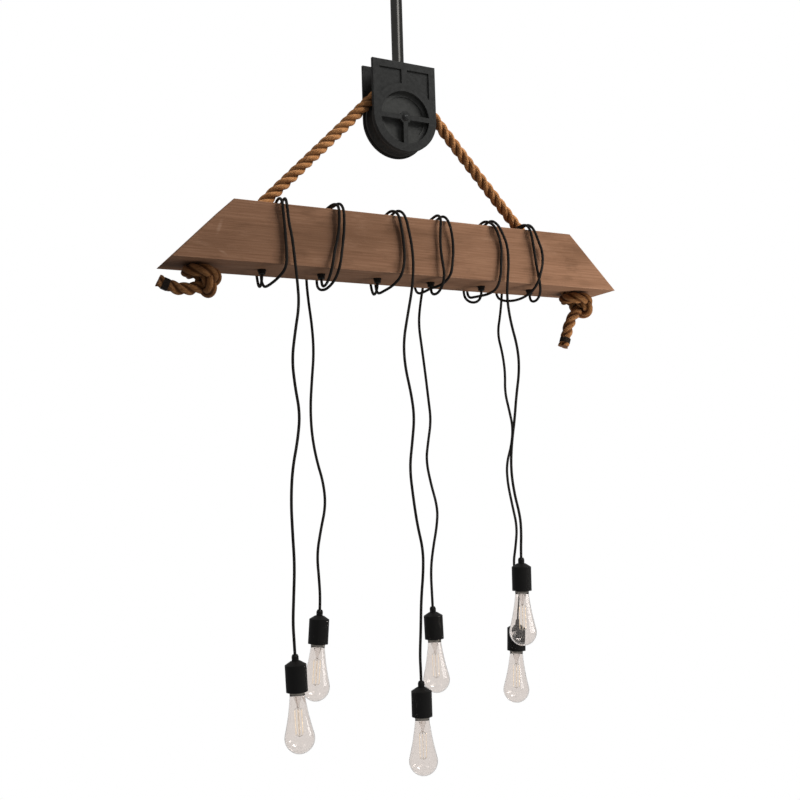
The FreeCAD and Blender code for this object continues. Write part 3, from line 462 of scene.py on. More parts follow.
whipping_width = 13.0 * MM
whipping_setback = 9.0 * MM
for side, knot in knots.items():
    route = np.array(knot["way_in"] + knot["nose"] + knot_turn + knot["tail"], float)
    route = (route + (knot["middle"], 0, beam_underside)) * MM
    knot["line"] = smooth_line(route, 2.5 * MM)
    knot["length"] = float(distance_along(knot["line"])[-1])
    band_end = knot["length"] - whipping_setback
    knot["band"] = (band_end - whipping_width, band_end)
    # The knots lie under the timber in its shadow, so their rope gets painted shade all over.
    tied = laid_rope(knot["line"], bands=[knot["band"]], flare=0.05, painted_shade=0.4)
    piece = make_piece(f"{side}_overhand_knot", [tied], manila)
    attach(piece, "timber_beam")
    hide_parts(f"{side}_knot")
    print(side, "knot and tail", round(knot["length"], 3), "m of rope")

# %% [markdown]
# ## The whippings
# A few turns of dark thread keep each tail from fraying. The band is a ring whose outside rises and falls
# once for each turn of thread, and the ridge climbs one thread in each time round, as a wound thread does.

# %% Whipping thread finish
thread_finish, tree, shader = finish("whipping_thread", Specular_IOR_Level=0.3)
chart = add(tree, "UVMap", uv_map="round").outputs[0]
threads = place_group(tree, fibres, {"Chart": chart, "Twist": 300.0, "Across": 6.0, "Along": 900.0})
dark_thread, light_thread = (0.009, 0.006, 0.004, 1), (0.04, 0.026, 0.017, 1)
thread_tone = mixed(tree, spread(tree, threads["Fine"], 0.3, 0.7), dark_thread, light_thread)
link(tree, shader, Base_Color=thread_tone, Roughness=spread(tree, threads["Fine"], 0.2, 0.8, 0.85, 0.6),
     Normal=bumped(tree, threads["Fine"], 0.0004))
print("finish", thread_finish.name)

# %% Two whippings
thread_pitch = 1.3 * MM
thread_core, thread_ridge = 0.6 * MM, 0.55 * MM
whipping_fade = 0.6 * thread_pitch
whipping_bore = 0.86 * rope_radius
whipping_rows = 120


def whipping(line, start, end, sides=72):
    """The radius is the bound rope's, plus a core, plus a ridge times |cos| of half a turn per thread. The
    phase is the length over the pitch less the share of the turn, a spiral. Two rows in the rope close it."""
    gone = distance_along(line)
    _, across, other = frames_along(line)
    steps = np.linspace(start, end, whipping_rows)
    middle, out, up_from = (np.stack([np.interp(steps, gone, field[:, axis]) for axis in range(3)], axis=1)
                            for field in (line, across, other))
    angle = np.arange(sides)[None] * 2 * math.pi / sides
    phase = (steps[:, None] - start) / thread_pitch - angle / (2 * math.pi)
    edge = np.clip(np.minimum(steps - start, end - steps) / whipping_fade, 0, 1)[:, None]
    reach = bound_radius + np.sqrt(edge) * (thread_core + thread_ridge * np.abs(np.cos(math.pi * phase)))
    reach = np.concatenate([reach, np.full((2, sides), whipping_bore)])
    rows = np.append(np.arange(whipping_rows), [whipping_rows - 1, 0])
    grid = middle[rows, None] + reach[..., None] * (np.cos(angle)[..., None] * out[rows, None]
                                                    + np.sin(angle)[..., None] * up_from[rows, None])
    return skin(grid, closed_rows=True, uv=np.append(steps - start, [0.0, 0.0001]))


whippings = make_piece("tail_whippings", [whipping(knot["line"], *knot["band"]) for knot in knots.values()],
                       thread_finish)
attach(whippings, "timber_beam")
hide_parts("rope_whippings")

# %% [markdown]
# ## The cords
# Each cord comes out of a gland under the timber, goes one and a half times round it and then hangs free
# down to its lamp. The winding moves with the timber. On the light the hanging length can swing; here it is
# one fixed piece that bends a little between timber and lamp. The sheath is a black braid: two families of
# threads that cross, drawn by the product of two sine waves.

# %% Braided sheath finish
cord_radius = 3.0 * MM
braid_threads = 8
sheath, tree, shader = finish("cord_sheath", Specular_IOR_Level=0.25)
chart = add(tree, "UVMap", uv_map="round").outputs[0]
parts = add(tree, "SeparateXYZ", {0: chart}).outputs
around = calc(tree, "MULTIPLY", parts[0], 2 * math.pi * braid_threads)
along = calc(tree, "MULTIPLY", parts[1], braid_threads / cord_radius)
weave = calc(tree, "MULTIPLY", calc(tree, "SINE", calc(tree, "ADD", around, along)),
             calc(tree, "SINE", calc(tree, "SUBTRACT", around, along)))
weave = spread(tree, weave, -0.8, 0.8)
dark_sheath, light_sheath = (0.0125, 0.0108, 0.0094, 1), (0.0175, 0.0152, 0.0133, 1)
link(tree, shader, Base_Color=mixed(tree, weave, dark_sheath, light_sheath),
     Roughness=spread(tree, weave, 0.0, 1.0, 0.75, 0.6), Normal=bumped(tree, weave, 0.00003))
print("finish", sheath.name)

# %% Routes of the cords
# Windings: places along the timber, behind its middle and over its underside, in millimetres.
# Drops and necks: places along the timber and over its underside. Leans: degrees from a plumb line.
# Sides: -1 hangs in front of the timber, 1 behind it.
hang_offset = 72
lamps = [
    {"side": -1, "neck": (-305, -783), "lean": 2.4,
     "winding": [
         (-334.4, 0, -4), (-334.4, 0, -15), (-334, 5, -26), (-332, 16, -31), (-329, 33, -30),
         (-325, 51, -22), (-321, 67, -10), (-321, 75, 11), (-322, 71, 42), (-323, 70, 73), (-324, 71, 103),
         (-325, 73, 131), (-323, 56, 142), (-313, 22, 134), (-310, -16, 134), (-313, -50, 143),
         (-314, -73, 131), (-311, -70, 110), (-308, -69, 80), (-306, -69, 47), (-305, -71, 15),
         (-308, -71, -11), (-317, -44, -27), (-323, -14, -34), (-322, 18, -33), (-316, 48, -22),
         (-312, 70, -5), (-311, 72, 28), (-311, 70, 64), (-311, 71, 98), (-310, 73, 131), (-306, 56, 142),
         (-301, 20, 134), (-299, -20, 134), (-302, -56, 143), (-304, -72.5, 129)],
     "drop": [
         (-302, 108), (-300, 86), (-293, 54), (-289, 14), (-284, -34), (-281, -84), (-291, -140),
         (-299, -196), (-294, -250), (-284, -306), (-290, -360), (-303, -420), (-307, -484), (-305, -546),
         (-302, -608), (-305, -668), (-308, -722)]},
    {"side": 1, "neck": (-191, -717), "lean": -4.7,
     "winding": [
         (-200.6, 0, -4), (-200.6, 0, -15), (-201, -5, -26), (-203, -19, -31), (-205, -41, -28),
         (-207, -64, -15), (-205, -75, 7), (-199, -70, 34), (-190, -69, 65), (-186, -71, 98),
         (-187, -73, 131), (-191, -54, 142), (-198, -20, 134), (-196, 14, 131), (-189, 42, 133),
         (-184, 66, 138), (-183, 75, 120), (-182, 71, 95), (-181, 70, 64), (-181, 70, 28), (-182, 72, -5),
         (-186, 54, -20), (-192, 20, -31), (-193, -14, -34), (-191, -53, -22), (-189, -75, 3),
         (-182, -71, 36), (-177, -69, 66), (-175, -71, 97), (-177, -74, 127), (-180, -58, 144),
         (-184, -22, 140), (-191, 18, 140), (-196, 55, 143), (-197, 72.5, 129)],
     "drop": [
         (-197, 108), (-197, 86), (-201, 56), (-207, 14), (-203, -42), (-195, -100), (-192, -160),
         (-198, -220), (-203, -280), (-201, -340), (-191, -396), (-176, -446), (-172, -496), (-185, -548),
         (-195, -600), (-191, -654)]},
    {"side": -1, "neck": (-26, -864), "lean": 0.0,
     "winding": [
         (-66.9, 0, -4), (-66.9, 0, -15), (-67, 5, -26), (-65, 16, -31), (-61, 33, -30), (-55, 51, -22),
         (-50, 67, -10), (-49, 75, 11), (-50, 71, 42), (-51, 70, 73), (-52, 71, 103), (-53, 73, 131),
         (-55, 56, 142), (-56, 22, 134), (-56, -16, 134), (-54, -50, 142), (-48, -73, 130), (-41, -70, 106),
         (-36, -69, 79), (-34, -69, 51), (-35, -71, 23), (-44, -72, -8), (-53, -46, -25), (-58, -14, -30),
         (-55, 18, -30), (-45, 48, -21), (-38, 70, -5), (-37, 72, 28), (-37, 70, 64), (-37, 71, 98),
         (-37, 73, 131), (-39, 56, 142), (-41, 20, 134), (-42, -20, 135), (-41, -56, 143),
         (-31, -72.5, 129)],
     "drop": [
         (-26, 108), (-21, 86), (-16, 56), (-14, 16), (-19, -34), (-32, -92), (-44, -150), (-42, -204),
         (-29, -262), (-23, -312), (-30, -366), (-38, -420), (-32, -480), (-24, -540), (-12, -592),
         (-13, -640), (-20, -696), (-23, -756), (-27, -812)]},
    {"side": 1, "neck": (85, -731), "lean": 1.5,
     "winding": [
         (66.9, 0, -4), (66.9, 0, -15), (66, -5, -26), (65, -20, -32), (64, -43, -30), (62, -66, -16),
         (61, -75, 7), (58, -71, 38), (56, -69, 68), (56, -71, 98), (58, -73, 130), (58, -55, 142),
         (56, -18, 134), (54, 20, 134), (52, 56, 142), (51, 73, 130), (52, 71, 99), (55, 70, 65),
         (60, 70, 28), (65, 72, -4), (64, 55, -16), (57, 18, -20), (58, -16, -17), (67, -52, -16),
         (78, -75, 3), (85, -71, 35), (89, -69, 64), (86, -71, 95), (77, -74, 124), (72, -56, 142),
         (71, -18, 134), (76, 20, 134), (84, 55, 142), (87, 72.5, 129)],
     "drop": [
         (87, 108), (87, 86), (90, 56), (88, 14), (77, -36), (71, -84), (78, -140), (85, -200), (91, -260),
         (96, -308), (86, -360), (80, -400), (90, -452), (106, -508), (103, -548), (90, -604), (83, -650)]},
    {"side": -1, "neck": (234, -623), "lean": -0.9,
     "winding": [
         (200.6, 0, -4), (200.6, 0, -16), (200, 5, -28), (198, 17, -34), (195, 33, -33), (193, 50, -26),
         (194, 67, -13), (197, 75, 8), (198, 71, 40), (198, 70, 72), (196, 71, 103), (193, 73, 131),
         (190, 56, 142), (188, 22, 134), (186, -16, 134), (185, -50, 142), (196, -73, 127), (209, -70, 104),
         (216, -69, 76), (213, -69, 43), (209, -72, 9), (199, -69, -20), (193, -42, -27), (192, -10, -25),
         (194, 22, -22), (199, 53, -18), (205, 73, -1), (207, 72, 31), (207, 70, 64), (207, 71, 98),
         (206, 73, 131), (204, 56, 142), (201, 20, 134), (199, -20, 135), (198, -54, 143), (205, -73, 130),
         (218, -74, 106), (230, -72, 82)],
     "drop": [
         (231, 58), (231, 36), (227, 6), (223, -38), (230, -92), (247, -152), (249, -204), (238, -262),
         (231, -316), (221, -368), (216, -424), (222, -478), (236, -532), (237, -570)]},
    {"side": 1, "neck": (309, -777), "lean": -2.7,
     "winding": [
         (334.4, 0, -4), (334.4, 0, -15), (333, -5, -26), (330, -21, -33), (326, -45, -32), (319, -68, -19),
         (314, -73.5, 4), (310, -70, 36), (306, -69.5, 66), (301, -71, 97), (292, -74, 129),
         (288, -56, 142), (283, -18, 134), (278, 20, 134), (277, 56, 142), (277, 73, 130), (278, 71, 99),
         (281, 70, 65), (284, 70, 28), (287, 72, -5), (290, 54, -19), (297, 18, -26), (303, -16, -25),
         (304, -50, -18), (303, -78, -5), (311, -82, 20), (324, -75, 49), (327, -70, 77), (315, -73, 100),
         (302, -76, 126), (298, -58, 143), (293, -20, 134), (295, 20, 134), (302, 55, 142),
         (306, 72.5, 129)],
     "drop": [
         (306, 108), (306, 86), (308, 56), (304, 10), (297, -46), (286, -96), (298, -142), (304, -190),
         (301, -238), (311, -280), (320, -322), (314, -366), (298, -410), (299, -456), (310, -510),
         (321, -560), (315, -606), (306, -648), (316, -704)]},
]
for lamp in lamps:
    lean = math.radians(lamp["lean"])
    lamp["axis"] = np.array([math.sin(lean), 0.0, -math.cos(lean)])
    lamp["top"] = np.array([lamp["neck"][0], lamp["side"] * hang_offset, lamp["neck"][1] + beam_underside])
print("cords to lay:", len(lamps))


# %% Windings and hanging lengths
cord_step, cord_sides = 2.5 * MM, 20
hand_over = 0.2
above_neck, inside_neck = 20, 10


def winding_route(lamp):
    """The winding's points, then the point where the cord hangs free."""
    x, z = lamp["drop"][0]
    points = lamp["winding"] + [(x, lamp["side"] * hang_offset, z + hand_over)]
    return (np.array(points, float) + (0, 0, beam_underside)) * MM


def hanging_route(lamp):
    """The hanging points, and two on the lamp holder's axis so that the cord goes straight into its neck."""
    points = [(x, lamp["side"] * hang_offset, z + beam_underside) for x, z in lamp["drop"]]
    points[0] = (points[0][0], points[0][1], points[0][2] - hand_over)
    points.append(tuple(lamp["top"] - above_neck * lamp["axis"]))
    points.append(tuple(lamp["top"] + inside_neck * lamp["axis"]))
    return np.array(points, float) * MM


for number, lamp in enumerate(lamps, 1):
    route = winding_route(lamp)
    line = smooth_line(route, cord_step)
    round_cord = tube(line, cord_radius, cord_sides)
    wound = make_piece(f"cord_{number}_winding", [round_cord], sheath)
    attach(wound, "timber_beam")
    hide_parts(f"cord_{number}_wrap")
    route = hanging_route(lamp)
    line = smooth_line(route, cord_step)
    round_cord = tube(line, cord_radius, cord_sides)
    hanging = make_piece(f"cord_{number}_hanging", [round_cord], sheath)
    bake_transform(hanging)
    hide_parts(f"cord_{number}_drop")

# %% [markdown]
# ## The bulbs
# The bulbs are long pears of clear glass with a standing cage of filaments. A bulb is turned round its
# axis, so one profile per piece is enough. The screw thread is the exception: its radius follows a spiral.
# The filaments give off a little light of their own, in place of the daylight that real glass would pass on
# to them.

# %% Glass and metal finishes
glass = finish("clear_glass", Base_Color=(0.838, 0.80, 0.775, 1), Roughness=0.0, IOR=1.47,
               Transmission_Weight=1.0)[0]
bulb_metal = speckled("bulb_metal", (0.42, 0.38, 0.33), (0.62, 0.58, 0.52), 260.0, (0.42, 0.26), 0.00015,
                      Metallic=1.0)
amber, tree, shader = finish("filament_amber", Specular_IOR_Level=0.4, Emission_Color=(1.0, 0.84, 0.62, 1),
                             Emission_Strength=0.5)
dark_amber, light_amber = (0.80, 0.64, 0.44, 1), (0.92, 0.80, 0.62, 1)
glow_marks = place_group(tree, speckle, {"Vector": object_place(tree), "Scale": 900.0, "Dark": dark_amber,
                                         "Light": light_amber})
link(tree, shader, Base_Color=glow_marks["Color"],
     Roughness=spread(tree, glow_marks["Height"], 0.3, 0.7, 0.6, 0.4))
print("finishes", glass.name, amber.name)

# %% One bulb, measured down its axis from the lamp holder's neck
collar_top, collar_low = -72.3, -77.0
bulb_radius, bulb_length, bulb_neck_radius = 30.0, 115.0, 14.8
side_hollow, side_angle, glass_wall = 1.7, math.radians(15.0), 1.0
tip_opening, end_rows, side_rows = 0.02, 28, 26
press_low = collar_low - 26.0
cage_length, cage_radius = 56.0, 7.8
cage_end = press_low - cage_length
stick_radius, stick_inset, wire_radius = 0.45, 4.0, 0.25
wire_past_stick, upper_root, lower_root, root_rise = 0.4, 1.2, 0.4, 0.5
sleeve_low, sleeve_top, sleeve_rows = -72.4, -52.6, 140
screw_radius, screw_ridge, screw_pitch, screw_fade = 12.65, 0.45, 3.6, 1.6


def arc_through(first, middle, last, count):
    """Places on the circle through three points, whose middle is where two chords' perpendiculars meet."""
    a, b, c = (np.array(p, float) for p in (first, middle, last))
    sums = np.array([(b @ b - a @ a) / 2, (c @ c - b @ b) / 2])
    centre = np.linalg.solve(np.stack([b - a, c - b]), sums)
    start, half, stop = (math.atan2(*(p - centre)[::-1]) for p in (a, b, c))
    half = start + (half - start + math.pi) % (2 * math.pi) - math.pi
    stop = half + (stop - half + math.pi) % (2 * math.pi) - math.pi
    angle = np.linspace(start, stop, count)
    return centre + np.linalg.norm(a - centre) * np.stack([np.cos(angle), np.sin(angle)], axis=1)


def envelope_profile(inset):
    """The glass from its tip up to its neck: a round end, then a slightly hollow side, both circle arcs."""
    centre = collar_low - bulb_length + bulb_radius
    radius = bulb_radius - inset
    neck = (bulb_neck_radius - inset, collar_low)
    joint = (radius * math.cos(side_angle), centre + radius * math.sin(side_angle))
    half_way = ((neck[0] + joint[0]) / 2 - side_hollow, (neck[1] + joint[1]) / 2)
    swing = np.linspace(-math.pi / 2 + tip_opening, side_angle, end_rows)
    end = np.stack([radius * np.cos(swing), centre + radius * np.sin(swing)], axis=1)
    return np.concatenate([end, arc_through(joint, half_way, neck, side_rows)[1:]])


def envelope():
    """The outside up, the inside back down, and two points on the axis that close the tip: one wall."""
    outer, inner = envelope_profile(0.0), envelope_profile(glass_wall)[::-1]
    tip = [(0.0, inner[-1][1]), (0.0, outer[0][1])]
    return turned_skin(np.concatenate([outer, inner, tip]), closed=True)


def screw_base():
    """Collar, threaded sleeve, cone and tip, listed upwards. On the sleeve the radius is a mean plus a cosine
    of the angle less the height over the pitch, which makes one spiral ridge that fades at both ends."""
    sides = 64
    angle = np.arange(sides)[None] * 2 * math.pi / sides
    sleeve = np.linspace(sleeve_low, sleeve_top, sleeve_rows)
    fade = np.clip(np.minimum(sleeve - sleeve_low, sleeve_top - sleeve) / screw_fade, 0, 1)[:, None]
    spiral = angle - 2 * math.pi * sleeve[:, None] / screw_pitch
    thread = screw_radius + screw_ridge * fade * np.cos(spiral)
    below = [(11.2, collar_low), (15.0, collar_low), (15.2, collar_low + 0.3), (15.2, collar_top - 0.6),
             (14.8, collar_top), (12.6, collar_top)]
    above = [(12.0, -52.5), (4.8, -49.5), (4.5, -49.2), (4.5, -48.4), (3.4, -47.9), (0.4, -47.9)]
    radius = np.concatenate([np.repeat([[r] for r, _ in below], sides, axis=1), thread,
                             np.repeat([[r] for r, _ in above], sides, axis=1)])
    height = np.concatenate([[z for _, z in below], sleeve, [z for _, z in above]])
    grid = np.broadcast_arrays(radius * np.cos(angle), radius * np.sin(angle), height[:, None])
    return skin(np.stack(grid, axis=-1))


def glass_foot():
    """The pressed glass foot: wide where it meets the neck, drawn in to a slim post that carries the cage."""
    profile = [(0.3, cage_end - 1), (0.75, cage_end - 0.6), (0.75, press_low - 1.5), (2.4, press_low),
               (3.4, press_low + 6), (6.2, press_low + 15), (8.0, press_low + 21),
               (10.8, collar_low - 0.2), (10.9, collar_low), (0.3, collar_low)]
    return turned_skin(profile, 32)


def straight_tube(start, end, radius, sides=10, rows=6):
    """A thin rod between two points."""
    steps = np.linspace(0, 1, rows)[:, None]
    return tube(np.array(start) * (1 - steps) + np.array(end) * steps, radius, sides)


def cage_rods(count=6):
    """Standing filament sticks on a circle, and the short wires that tie them to the post above and below."""
    turns = np.arange(count) * 2 * math.pi / count
    sticks, wires = [], []
    for place in np.stack([np.cos(turns), np.sin(turns)], axis=1):
        high = np.append(cage_radius * place, press_low - stick_inset)
        low = np.append(cage_radius * place, cage_end + stick_inset)
        sticks.append(straight_tube(high, low, stick_radius))
        above = np.append(upper_root * place, press_low + root_rise)
        below = np.append(lower_root * place, cage_end)
        wires.append(straight_tube(above, high + (0, 0, wire_past_stick), wire_radius))
        wires.append(straight_tube(low - (0, 0, wire_past_stick), below, wire_radius))
    return sticks, wires


def on_lamp(part, lamp):
    """Turns a part's points about Y by the lamp's lean and moves them to the end of its cord, in metres."""
    lean = -math.radians(lamp["lean"])
    x, y, z = part["points"].T
    leaned = [x * math.cos(lean) + z * math.sin(lean), y, z * math.cos(lean) - x * math.sin(lean)]
    return {**part, "points": (np.stack(leaned, axis=1) + lamp["top"]) * MM}


# %% Six bulbs
sticks, wires = cage_rods()
bulb_parts = [
    ("envelope", [envelope()], glass, "clear_glass", "glass"),
    ("screw_base", [screw_base()], bulb_metal, "bulb_metal", "base"),
    ("foot", [glass_foot()], glass, "clear_glass", "base"),
    ("filaments", sticks, amber, "bulb_metal", "base"),
    ("wires", wires, bulb_metal, "bulb_metal", "base"),
]
for number, lamp in enumerate(lamps, 1):
    body = f"bulb_{number}"
    for part_name, skins, material, slot_name, node in bulb_parts:
        piece = make_piece(f"{body}_{part_name}", [on_lamp(s, lamp) for s in skins], material)
        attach(piece, body)
        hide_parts(f"{body}_{node}")
print("bulbs made:", len(lamps))

# %% [markdown]
# ## Stained timber
# The beam is a square timber with a thin brown stain that leaves the grain open. The grain is worked out in
# the whole block: growth rings lie round a pith under the beam, so the long faces show streaks and the
# mitres show arcs, as when a saw cuts them. Fibres are a noise that is drawn out along the beam. Two pale
# scuffs and two dark streaks on the front are ellipses, placed one by one and broken up by the fibres.

# %% Timber finish
beam_half = 63.5 * MM
beam_middle = beam_underside * MM + beam_half
pith_y, pith_z = -0.045, -0.765
rings_per_metre, ring_wander, ring_slope = 150.0, 0.035, 0.03
timber, tree, shader = finish("stained_timber", Specular_IOR_Level=0.15)
spot = add(tree, "TexCoord").outputs["Object"]
axes_of = add(tree, "SeparateXYZ", {0: spot}).outputs
wander = noise(tree, object_place(tree, (1.6, 9, 9)), 1.0, 3.0, 0.5)
slope = calc(tree, "MULTIPLY", axes_of[0], ring_slope)
back = calc(tree, "SUBTRACT", axes_of[1], pith_y)
rise = calc(tree, "SUBTRACT", axes_of[2], pith_z)
ring_distance = calc(tree, "SQRT", calc(tree, "ADD", calc(tree, "MULTIPLY", back, back),
                                        calc(tree, "MULTIPLY", rise, rise)))
wavy = calc(tree, "MULTIPLY_ADD", wander, ring_wander, calc(tree, "ADD", ring_distance, slope))
ring = calc(tree, "FRACT", calc(tree, "MULTIPLY", wavy, rings_per_metre))
late = calc(tree, "MULTIPLY", spread(tree, ring, 0.45, 0.95), spread(tree, ring, 1.0, 0.96))
fibre = noise(tree, object_place(tree, (9, 420, 420)), 1.0, 6.0, 0.6)
pores = noise(tree, object_place(tree, (26, 900, 900), (3, 1, 2)), 1.0, 3.0, 0.7)
cloud = noise(tree, object_place(tree, (2.4, 11, 11), (5, 0, 0)), 1.0, 4.0, 0.6)
stain = mixed(tree, spread(tree, fibre, 0.25, 0.75), (0.208, 0.105, 0.059, 1), (0.290, 0.155, 0.091, 1))
stain = mixed(tree, calc(tree, "MULTIPLY", late, 0.16), stain, (0.150, 0.074, 0.040, 1))
stain = mixed(tree, spread(tree, cloud, 0.45, 0.75, 0.0, 0.6), stain, (0.145, 0.073, 0.040, 1))
mottle = noise(tree, object_place(tree, (11, 34, 34), (2, 4, 1)), 1.0, 5.0, 0.65)
stain = mixed(tree, spread(tree, mottle, 0.5, 0.72, 0.0, 0.5), stain, (0.120, 0.060, 0.032, 1))
stain = mixed(tree, spread(tree, mottle, 0.45, 0.25, 0.0, 0.4), stain, (0.35, 0.20, 0.125, 1))
stain = mixed(tree, spread(tree, cloud, 0.45, 0.2, 0.0, 0.4), stain, (0.335, 0.188, 0.114, 1))
stain = mixed(tree, spread(tree, pores, 0.62, 0.76, 0.0, 0.3), stain, (0.10, 0.046, 0.024, 1))
off_middle = calc(tree, "ABSOLUTE", calc(tree, "SUBTRACT", axes_of[2], beam_middle))
in_depth = calc(tree, "SUBTRACT", beam_half, calc(tree, "ABSOLUTE", axes_of[1]))
in_height = calc(tree, "SUBTRACT", beam_half, off_middle)
rub_reach, rub_full = 4.5 * MM, 0.5 * MM
edge_near = spread(tree, calc(tree, "MAXIMUM", in_depth, in_height), rub_reach, rub_full)
rubbed = calc(tree, "MULTIPLY", edge_near, spread(tree, fibre, 0.35, 0.6))
pale_mark, dark_mark = (0.44, 0.28, 0.19, 1), (0.085, 0.045, 0.026, 1)
mark_depth = 0.01
# Each mark: its place in x and z, its turn in degrees, its half length and half width, its strength and tone.
hand_marks = [
    (-0.444, -0.654, 19, 0.023, 0.0055, 0.40, pale_mark),
    (-0.438, -0.705, -63, 0.014, 0.004, 0.35, pale_mark),
    (0.408, -0.669, 80, 0.024, 0.004, 0.35, dark_mark),
    (0.452, -0.709, 96, 0.032, 0.010, 0.30, dark_mark),
]
for mark_x, mark_z, turn, half_long, half_wide, share, tone in hand_marks:
    laid_out = {"Vector": spot, "Location": (mark_x, -beam_half, mark_z),
                "Rotation": (0, math.radians(turn), 0), "Scale": (half_wide, mark_depth, half_long)}
    near = add(tree, "Mapping", laid_out, vector_type="TEXTURE").outputs[0]
    away = add(tree, "VectorMath", {0: near}, operation="LENGTH").outputs["Value"]
    worn = calc(tree, "MULTIPLY", spread(tree, away, 1.0, 0.2, 0.0, share), spread(tree, fibre, 0.3, 0.55))
    stain = mixed(tree, worn, stain, tone)
stain = mixed(tree, calc(tree, "MULTIPLY", rubbed, 0.3), stain, (0.36, 0.205, 0.128, 1))
grain_height = calc(tree, "MULTIPLY_ADD", fibre, 0.6, calc(tree, "MULTIPLY", late, 0.25))
pits = calc(tree, "MULTIPLY", spread(tree, pores, 0.58, 0.74), 0.5)
grain_height = calc(tree, "SUBTRACT", grain_height, pits)
link(tree, shader, Base_Color=stain, Roughness=spread(tree, fibre, 0.2, 0.8, 0.8, 0.55),
     Normal=bumped(tree, grain_height, 0.00025))
print("finish", timber.name)

# %% [markdown]
# ## Iron, steel, bronze and plastic
# The pulley block is cast and painted matt charcoal. The wheel has a paler copy of that paint, painted light
# for its lit face. The stem is dark polished tube, the axle is blacked steel, and the lamp holders are black
# moulded plastic. Each is the same speckle group with its own scale, colours and gloss.

# %% Metal and plastic finishes
pulley_iron = speckled("cast_iron_paint", (0.021, 0.021, 0.0202), (0.034, 0.034, 0.0327), 110.0, (0.75, 0.6),
                       0.0004, Specular_IOR_Level=0.2)
# The wheel's paint is the cheeks' paint made paler: painted light for its lit face behind the window.
wheel_iron_lit = speckled("wheel_paint_lit", (0.038, 0.038, 0.036), (0.057, 0.057, 0.054), 110.0, (0.75, 0.6), 0.0003,
                      Specular_IOR_Level=0.2)
dark_paint = speckled("dark_paint", (0.020, 0.020, 0.019), (0.032, 0.031, 0.030), 160.0, (0.55, 0.42), 0.0003)
dark_steel = speckled("dark_tube", (0.12, 0.116, 0.108), (0.145, 0.14, 0.131), 40.0, (0.27, 0.23), 0.000002,
                      Metallic=1.0)
plated_steel = speckled("plated_steel", (0.46, 0.45, 0.43), (0.62, 0.61, 0.59), 220.0, (0.36, 0.24), 0.0001,
                        Metallic=1.0)
axle_steel = speckled("axle_steel", (0.016, 0.016, 0.0155), (0.026, 0.026, 0.025), 240.0, (0.36, 0.26),
                      0.0001)
bronze = speckled("bush_bronze", (0.36, 0.22, 0.10), (0.50, 0.32, 0.15), 200.0, (0.42, 0.28), 0.0001,
                  Metallic=1.0)
black_plastic = speckled("black_plastic", (0.0055, 0.005, 0.0046), (0.009, 0.0083, 0.0077), 300.0,
                         (0.42, 0.32), 0.00008, Specular_IOR_Level=0.35)
pale_plastic = speckled("pale_plastic", (0.55, 0.53, 0.48), (0.66, 0.64, 0.59), 180.0, (0.5, 0.4), 0.0002)

# %% [markdown]
# ## Dressing the solid model
# Pieces whose solid already has the true shape keep it and only change their finish.

# %% Finishes on the model's own pieces
dressed = {
    timber: ["beam", "channel_cover"],
    pulley_iron: ["front_cheek", "rear_cheek", "head_block"],
    wheel_iron_lit: ["sheave"],
    dark_paint: ["canopy"],
    dark_steel: ["stem", "stem_collar"],
    plated_steel: ["mounting_bar", "collar_screw", "cheek_screws", "axle_nut", "cover_screws"],
    axle_steel: ["axle_pin"],
    bronze: ["sheave_bush"],
    pale_plastic: ["terminal_block"],
    sheath: ["inner_leads"],
    black_plastic: ["cord_glands", "gland_nuts"] + [f"socket_{n}_{part}" for n in range(1, len(lamps) + 1)
                                                    for part in ("cap", "shell")],
}
for material, names in dressed.items():
    for name in names:
        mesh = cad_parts[name].data
        if len(mesh.materials):
            mesh.materials[0] = material
        else:
            mesh.materials.append(material)
print("dressed nodes:", sum(len(names) for names in dressed.values()))

# %% [markdown]
# ## Studio
# A plain white floor far below and an even sky. A soft box high on the right gives the fall of light along
# the beam and the faint shadows of the cords on it. A low one lights the underside, a weak one the left
# end. Only the box in front shows in polished metal, as one bright line down the stem.

# %% Floor
floor_half, floor_level = 7.0, -2.3


def seen_directly(tree):
    """1 on rays from the camera, also through glass, and 0 on rays that only carry light to the pieces."""
    path = add(tree, "LightPath").outputs
    return calc(tree, "MAXIMUM", path["Is Camera Ray"], path["Is Transmission Ray"])


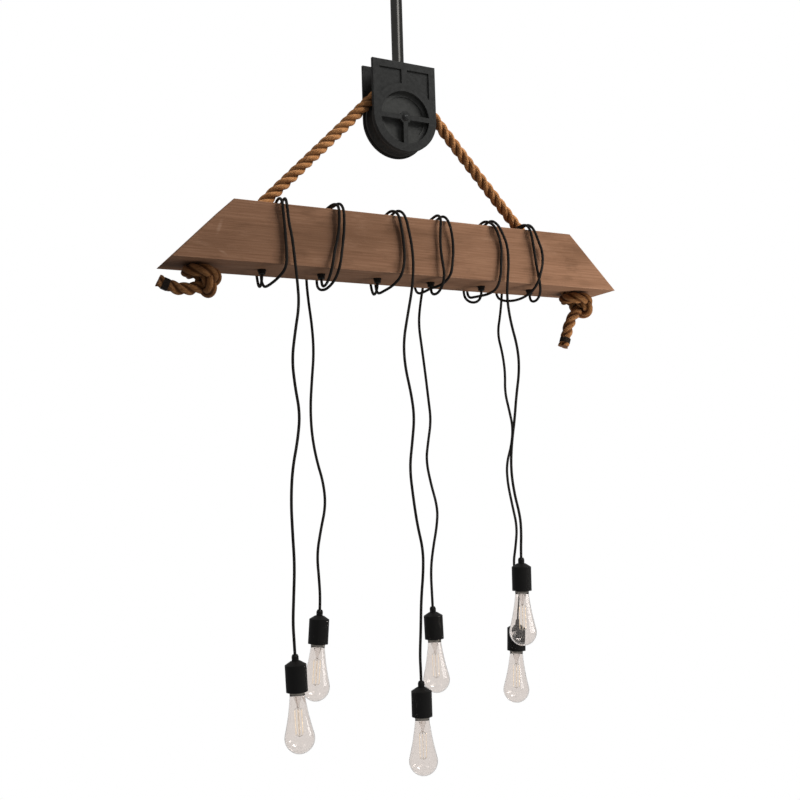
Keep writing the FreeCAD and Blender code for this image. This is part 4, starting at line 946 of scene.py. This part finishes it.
floor_mesh = bpy.data.meshes.new("studio_floor")
square = [(x * floor_half, y * floor_half) for x, y in ((-1, -1), (1, -1), (1, 1), (-1, 1))]
floor_mesh.from_pydata([(x, y, floor_level) for x, y in square], [], [(0, 1, 2, 3)])
floor_paint, tree, shader = finish("studio_floor", Base_Color=(0.38, 0.38, 0.38, 1), Roughness=0.9)
white = add(tree, "Emission", {"Color": (1, 1, 1, 1), "Strength": 1.0})
cover = add(tree, "MixShader", {0: seen_directly(tree), 1: shader.outputs[0], 2: white.outputs[0]})
add(tree, "OutputMaterial", {"Surface": cover.outputs[0]}).is_active_output = True
floor_mesh.materials.append(floor_paint)
floor = bpy.data.objects.new("studio_floor", floor_mesh)
bpy.context.scene.collection.objects.link(floor)
print("floor at", floor_level, "m")

# %% Lights and sky


def soft_box(name, place, aim, wide, tall, power, mirrored=False):
    """An area light whose face looks at the aim. A mirrored one shows only in glossy reflections, and the
    others light only matt surfaces."""
    data = bpy.data.lights.new(name, "AREA")
    data.shape = "RECTANGLE"
    data.size = wide
    data.size_y = tall
    data.energy = power
    box = bpy.data.objects.new(name, data)
    box.visible_glossy = mirrored
    box.visible_diffuse = not mirrored
    facing = np.array(aim, float) - np.array(place, float)
    facing /= np.linalg.norm(facing)
    flat = np.cross((0, 0, 1), -facing)
    flat /= np.linalg.norm(flat)
    turn = np.eye(4)
    turn[:3, :3] = np.stack([flat, np.cross(-facing, flat), -facing], axis=1)
    turn[:3, 3] = place
    box.matrix_world = Matrix(turn.tolist())
    bpy.context.scene.collection.objects.link(box)


soft_box("right_box", (1.5, -1.15, 1.1), (0.3, 0, -0.6), 1.2, 1.2, 108)
soft_box("low_box", (0.8, -0.4, -1.35), (0.4, 0, -0.72), 0.6, 0.6, 7)
soft_box("left_box", (-1.6, 0.0, 0.6), (-0.5, 0, -0.65), 0.6, 0.6, 7)
soft_box("mirror_box", (0.26, -2.58, 1.5), (0, 0, 0), 1.5, 1.3, 16.5, mirrored=True)
sky = bpy.data.worlds.new("studio_sky")
sky.use_nodes = True
bpy.context.scene.world = sky
sky.node_tree.nodes.clear()
tree = sky.node_tree
sky_strength = 0.22
even = add(tree, "Background", {"Color": (1, 1, 1, 1), "Strength": sky_strength})
blank = add(tree, "Background", {"Color": (1, 1, 1, 1), "Strength": 1.0})
sheet = add(tree, "MixShader", {0: seen_directly(tree), 1: even.outputs[0], 2: blank.outputs[0]})
add(tree, "OutputWorld", {"Surface": sheet.outputs[0]})
bpy.context.scene.view_settings.view_transform = "Standard"
print("lights set")
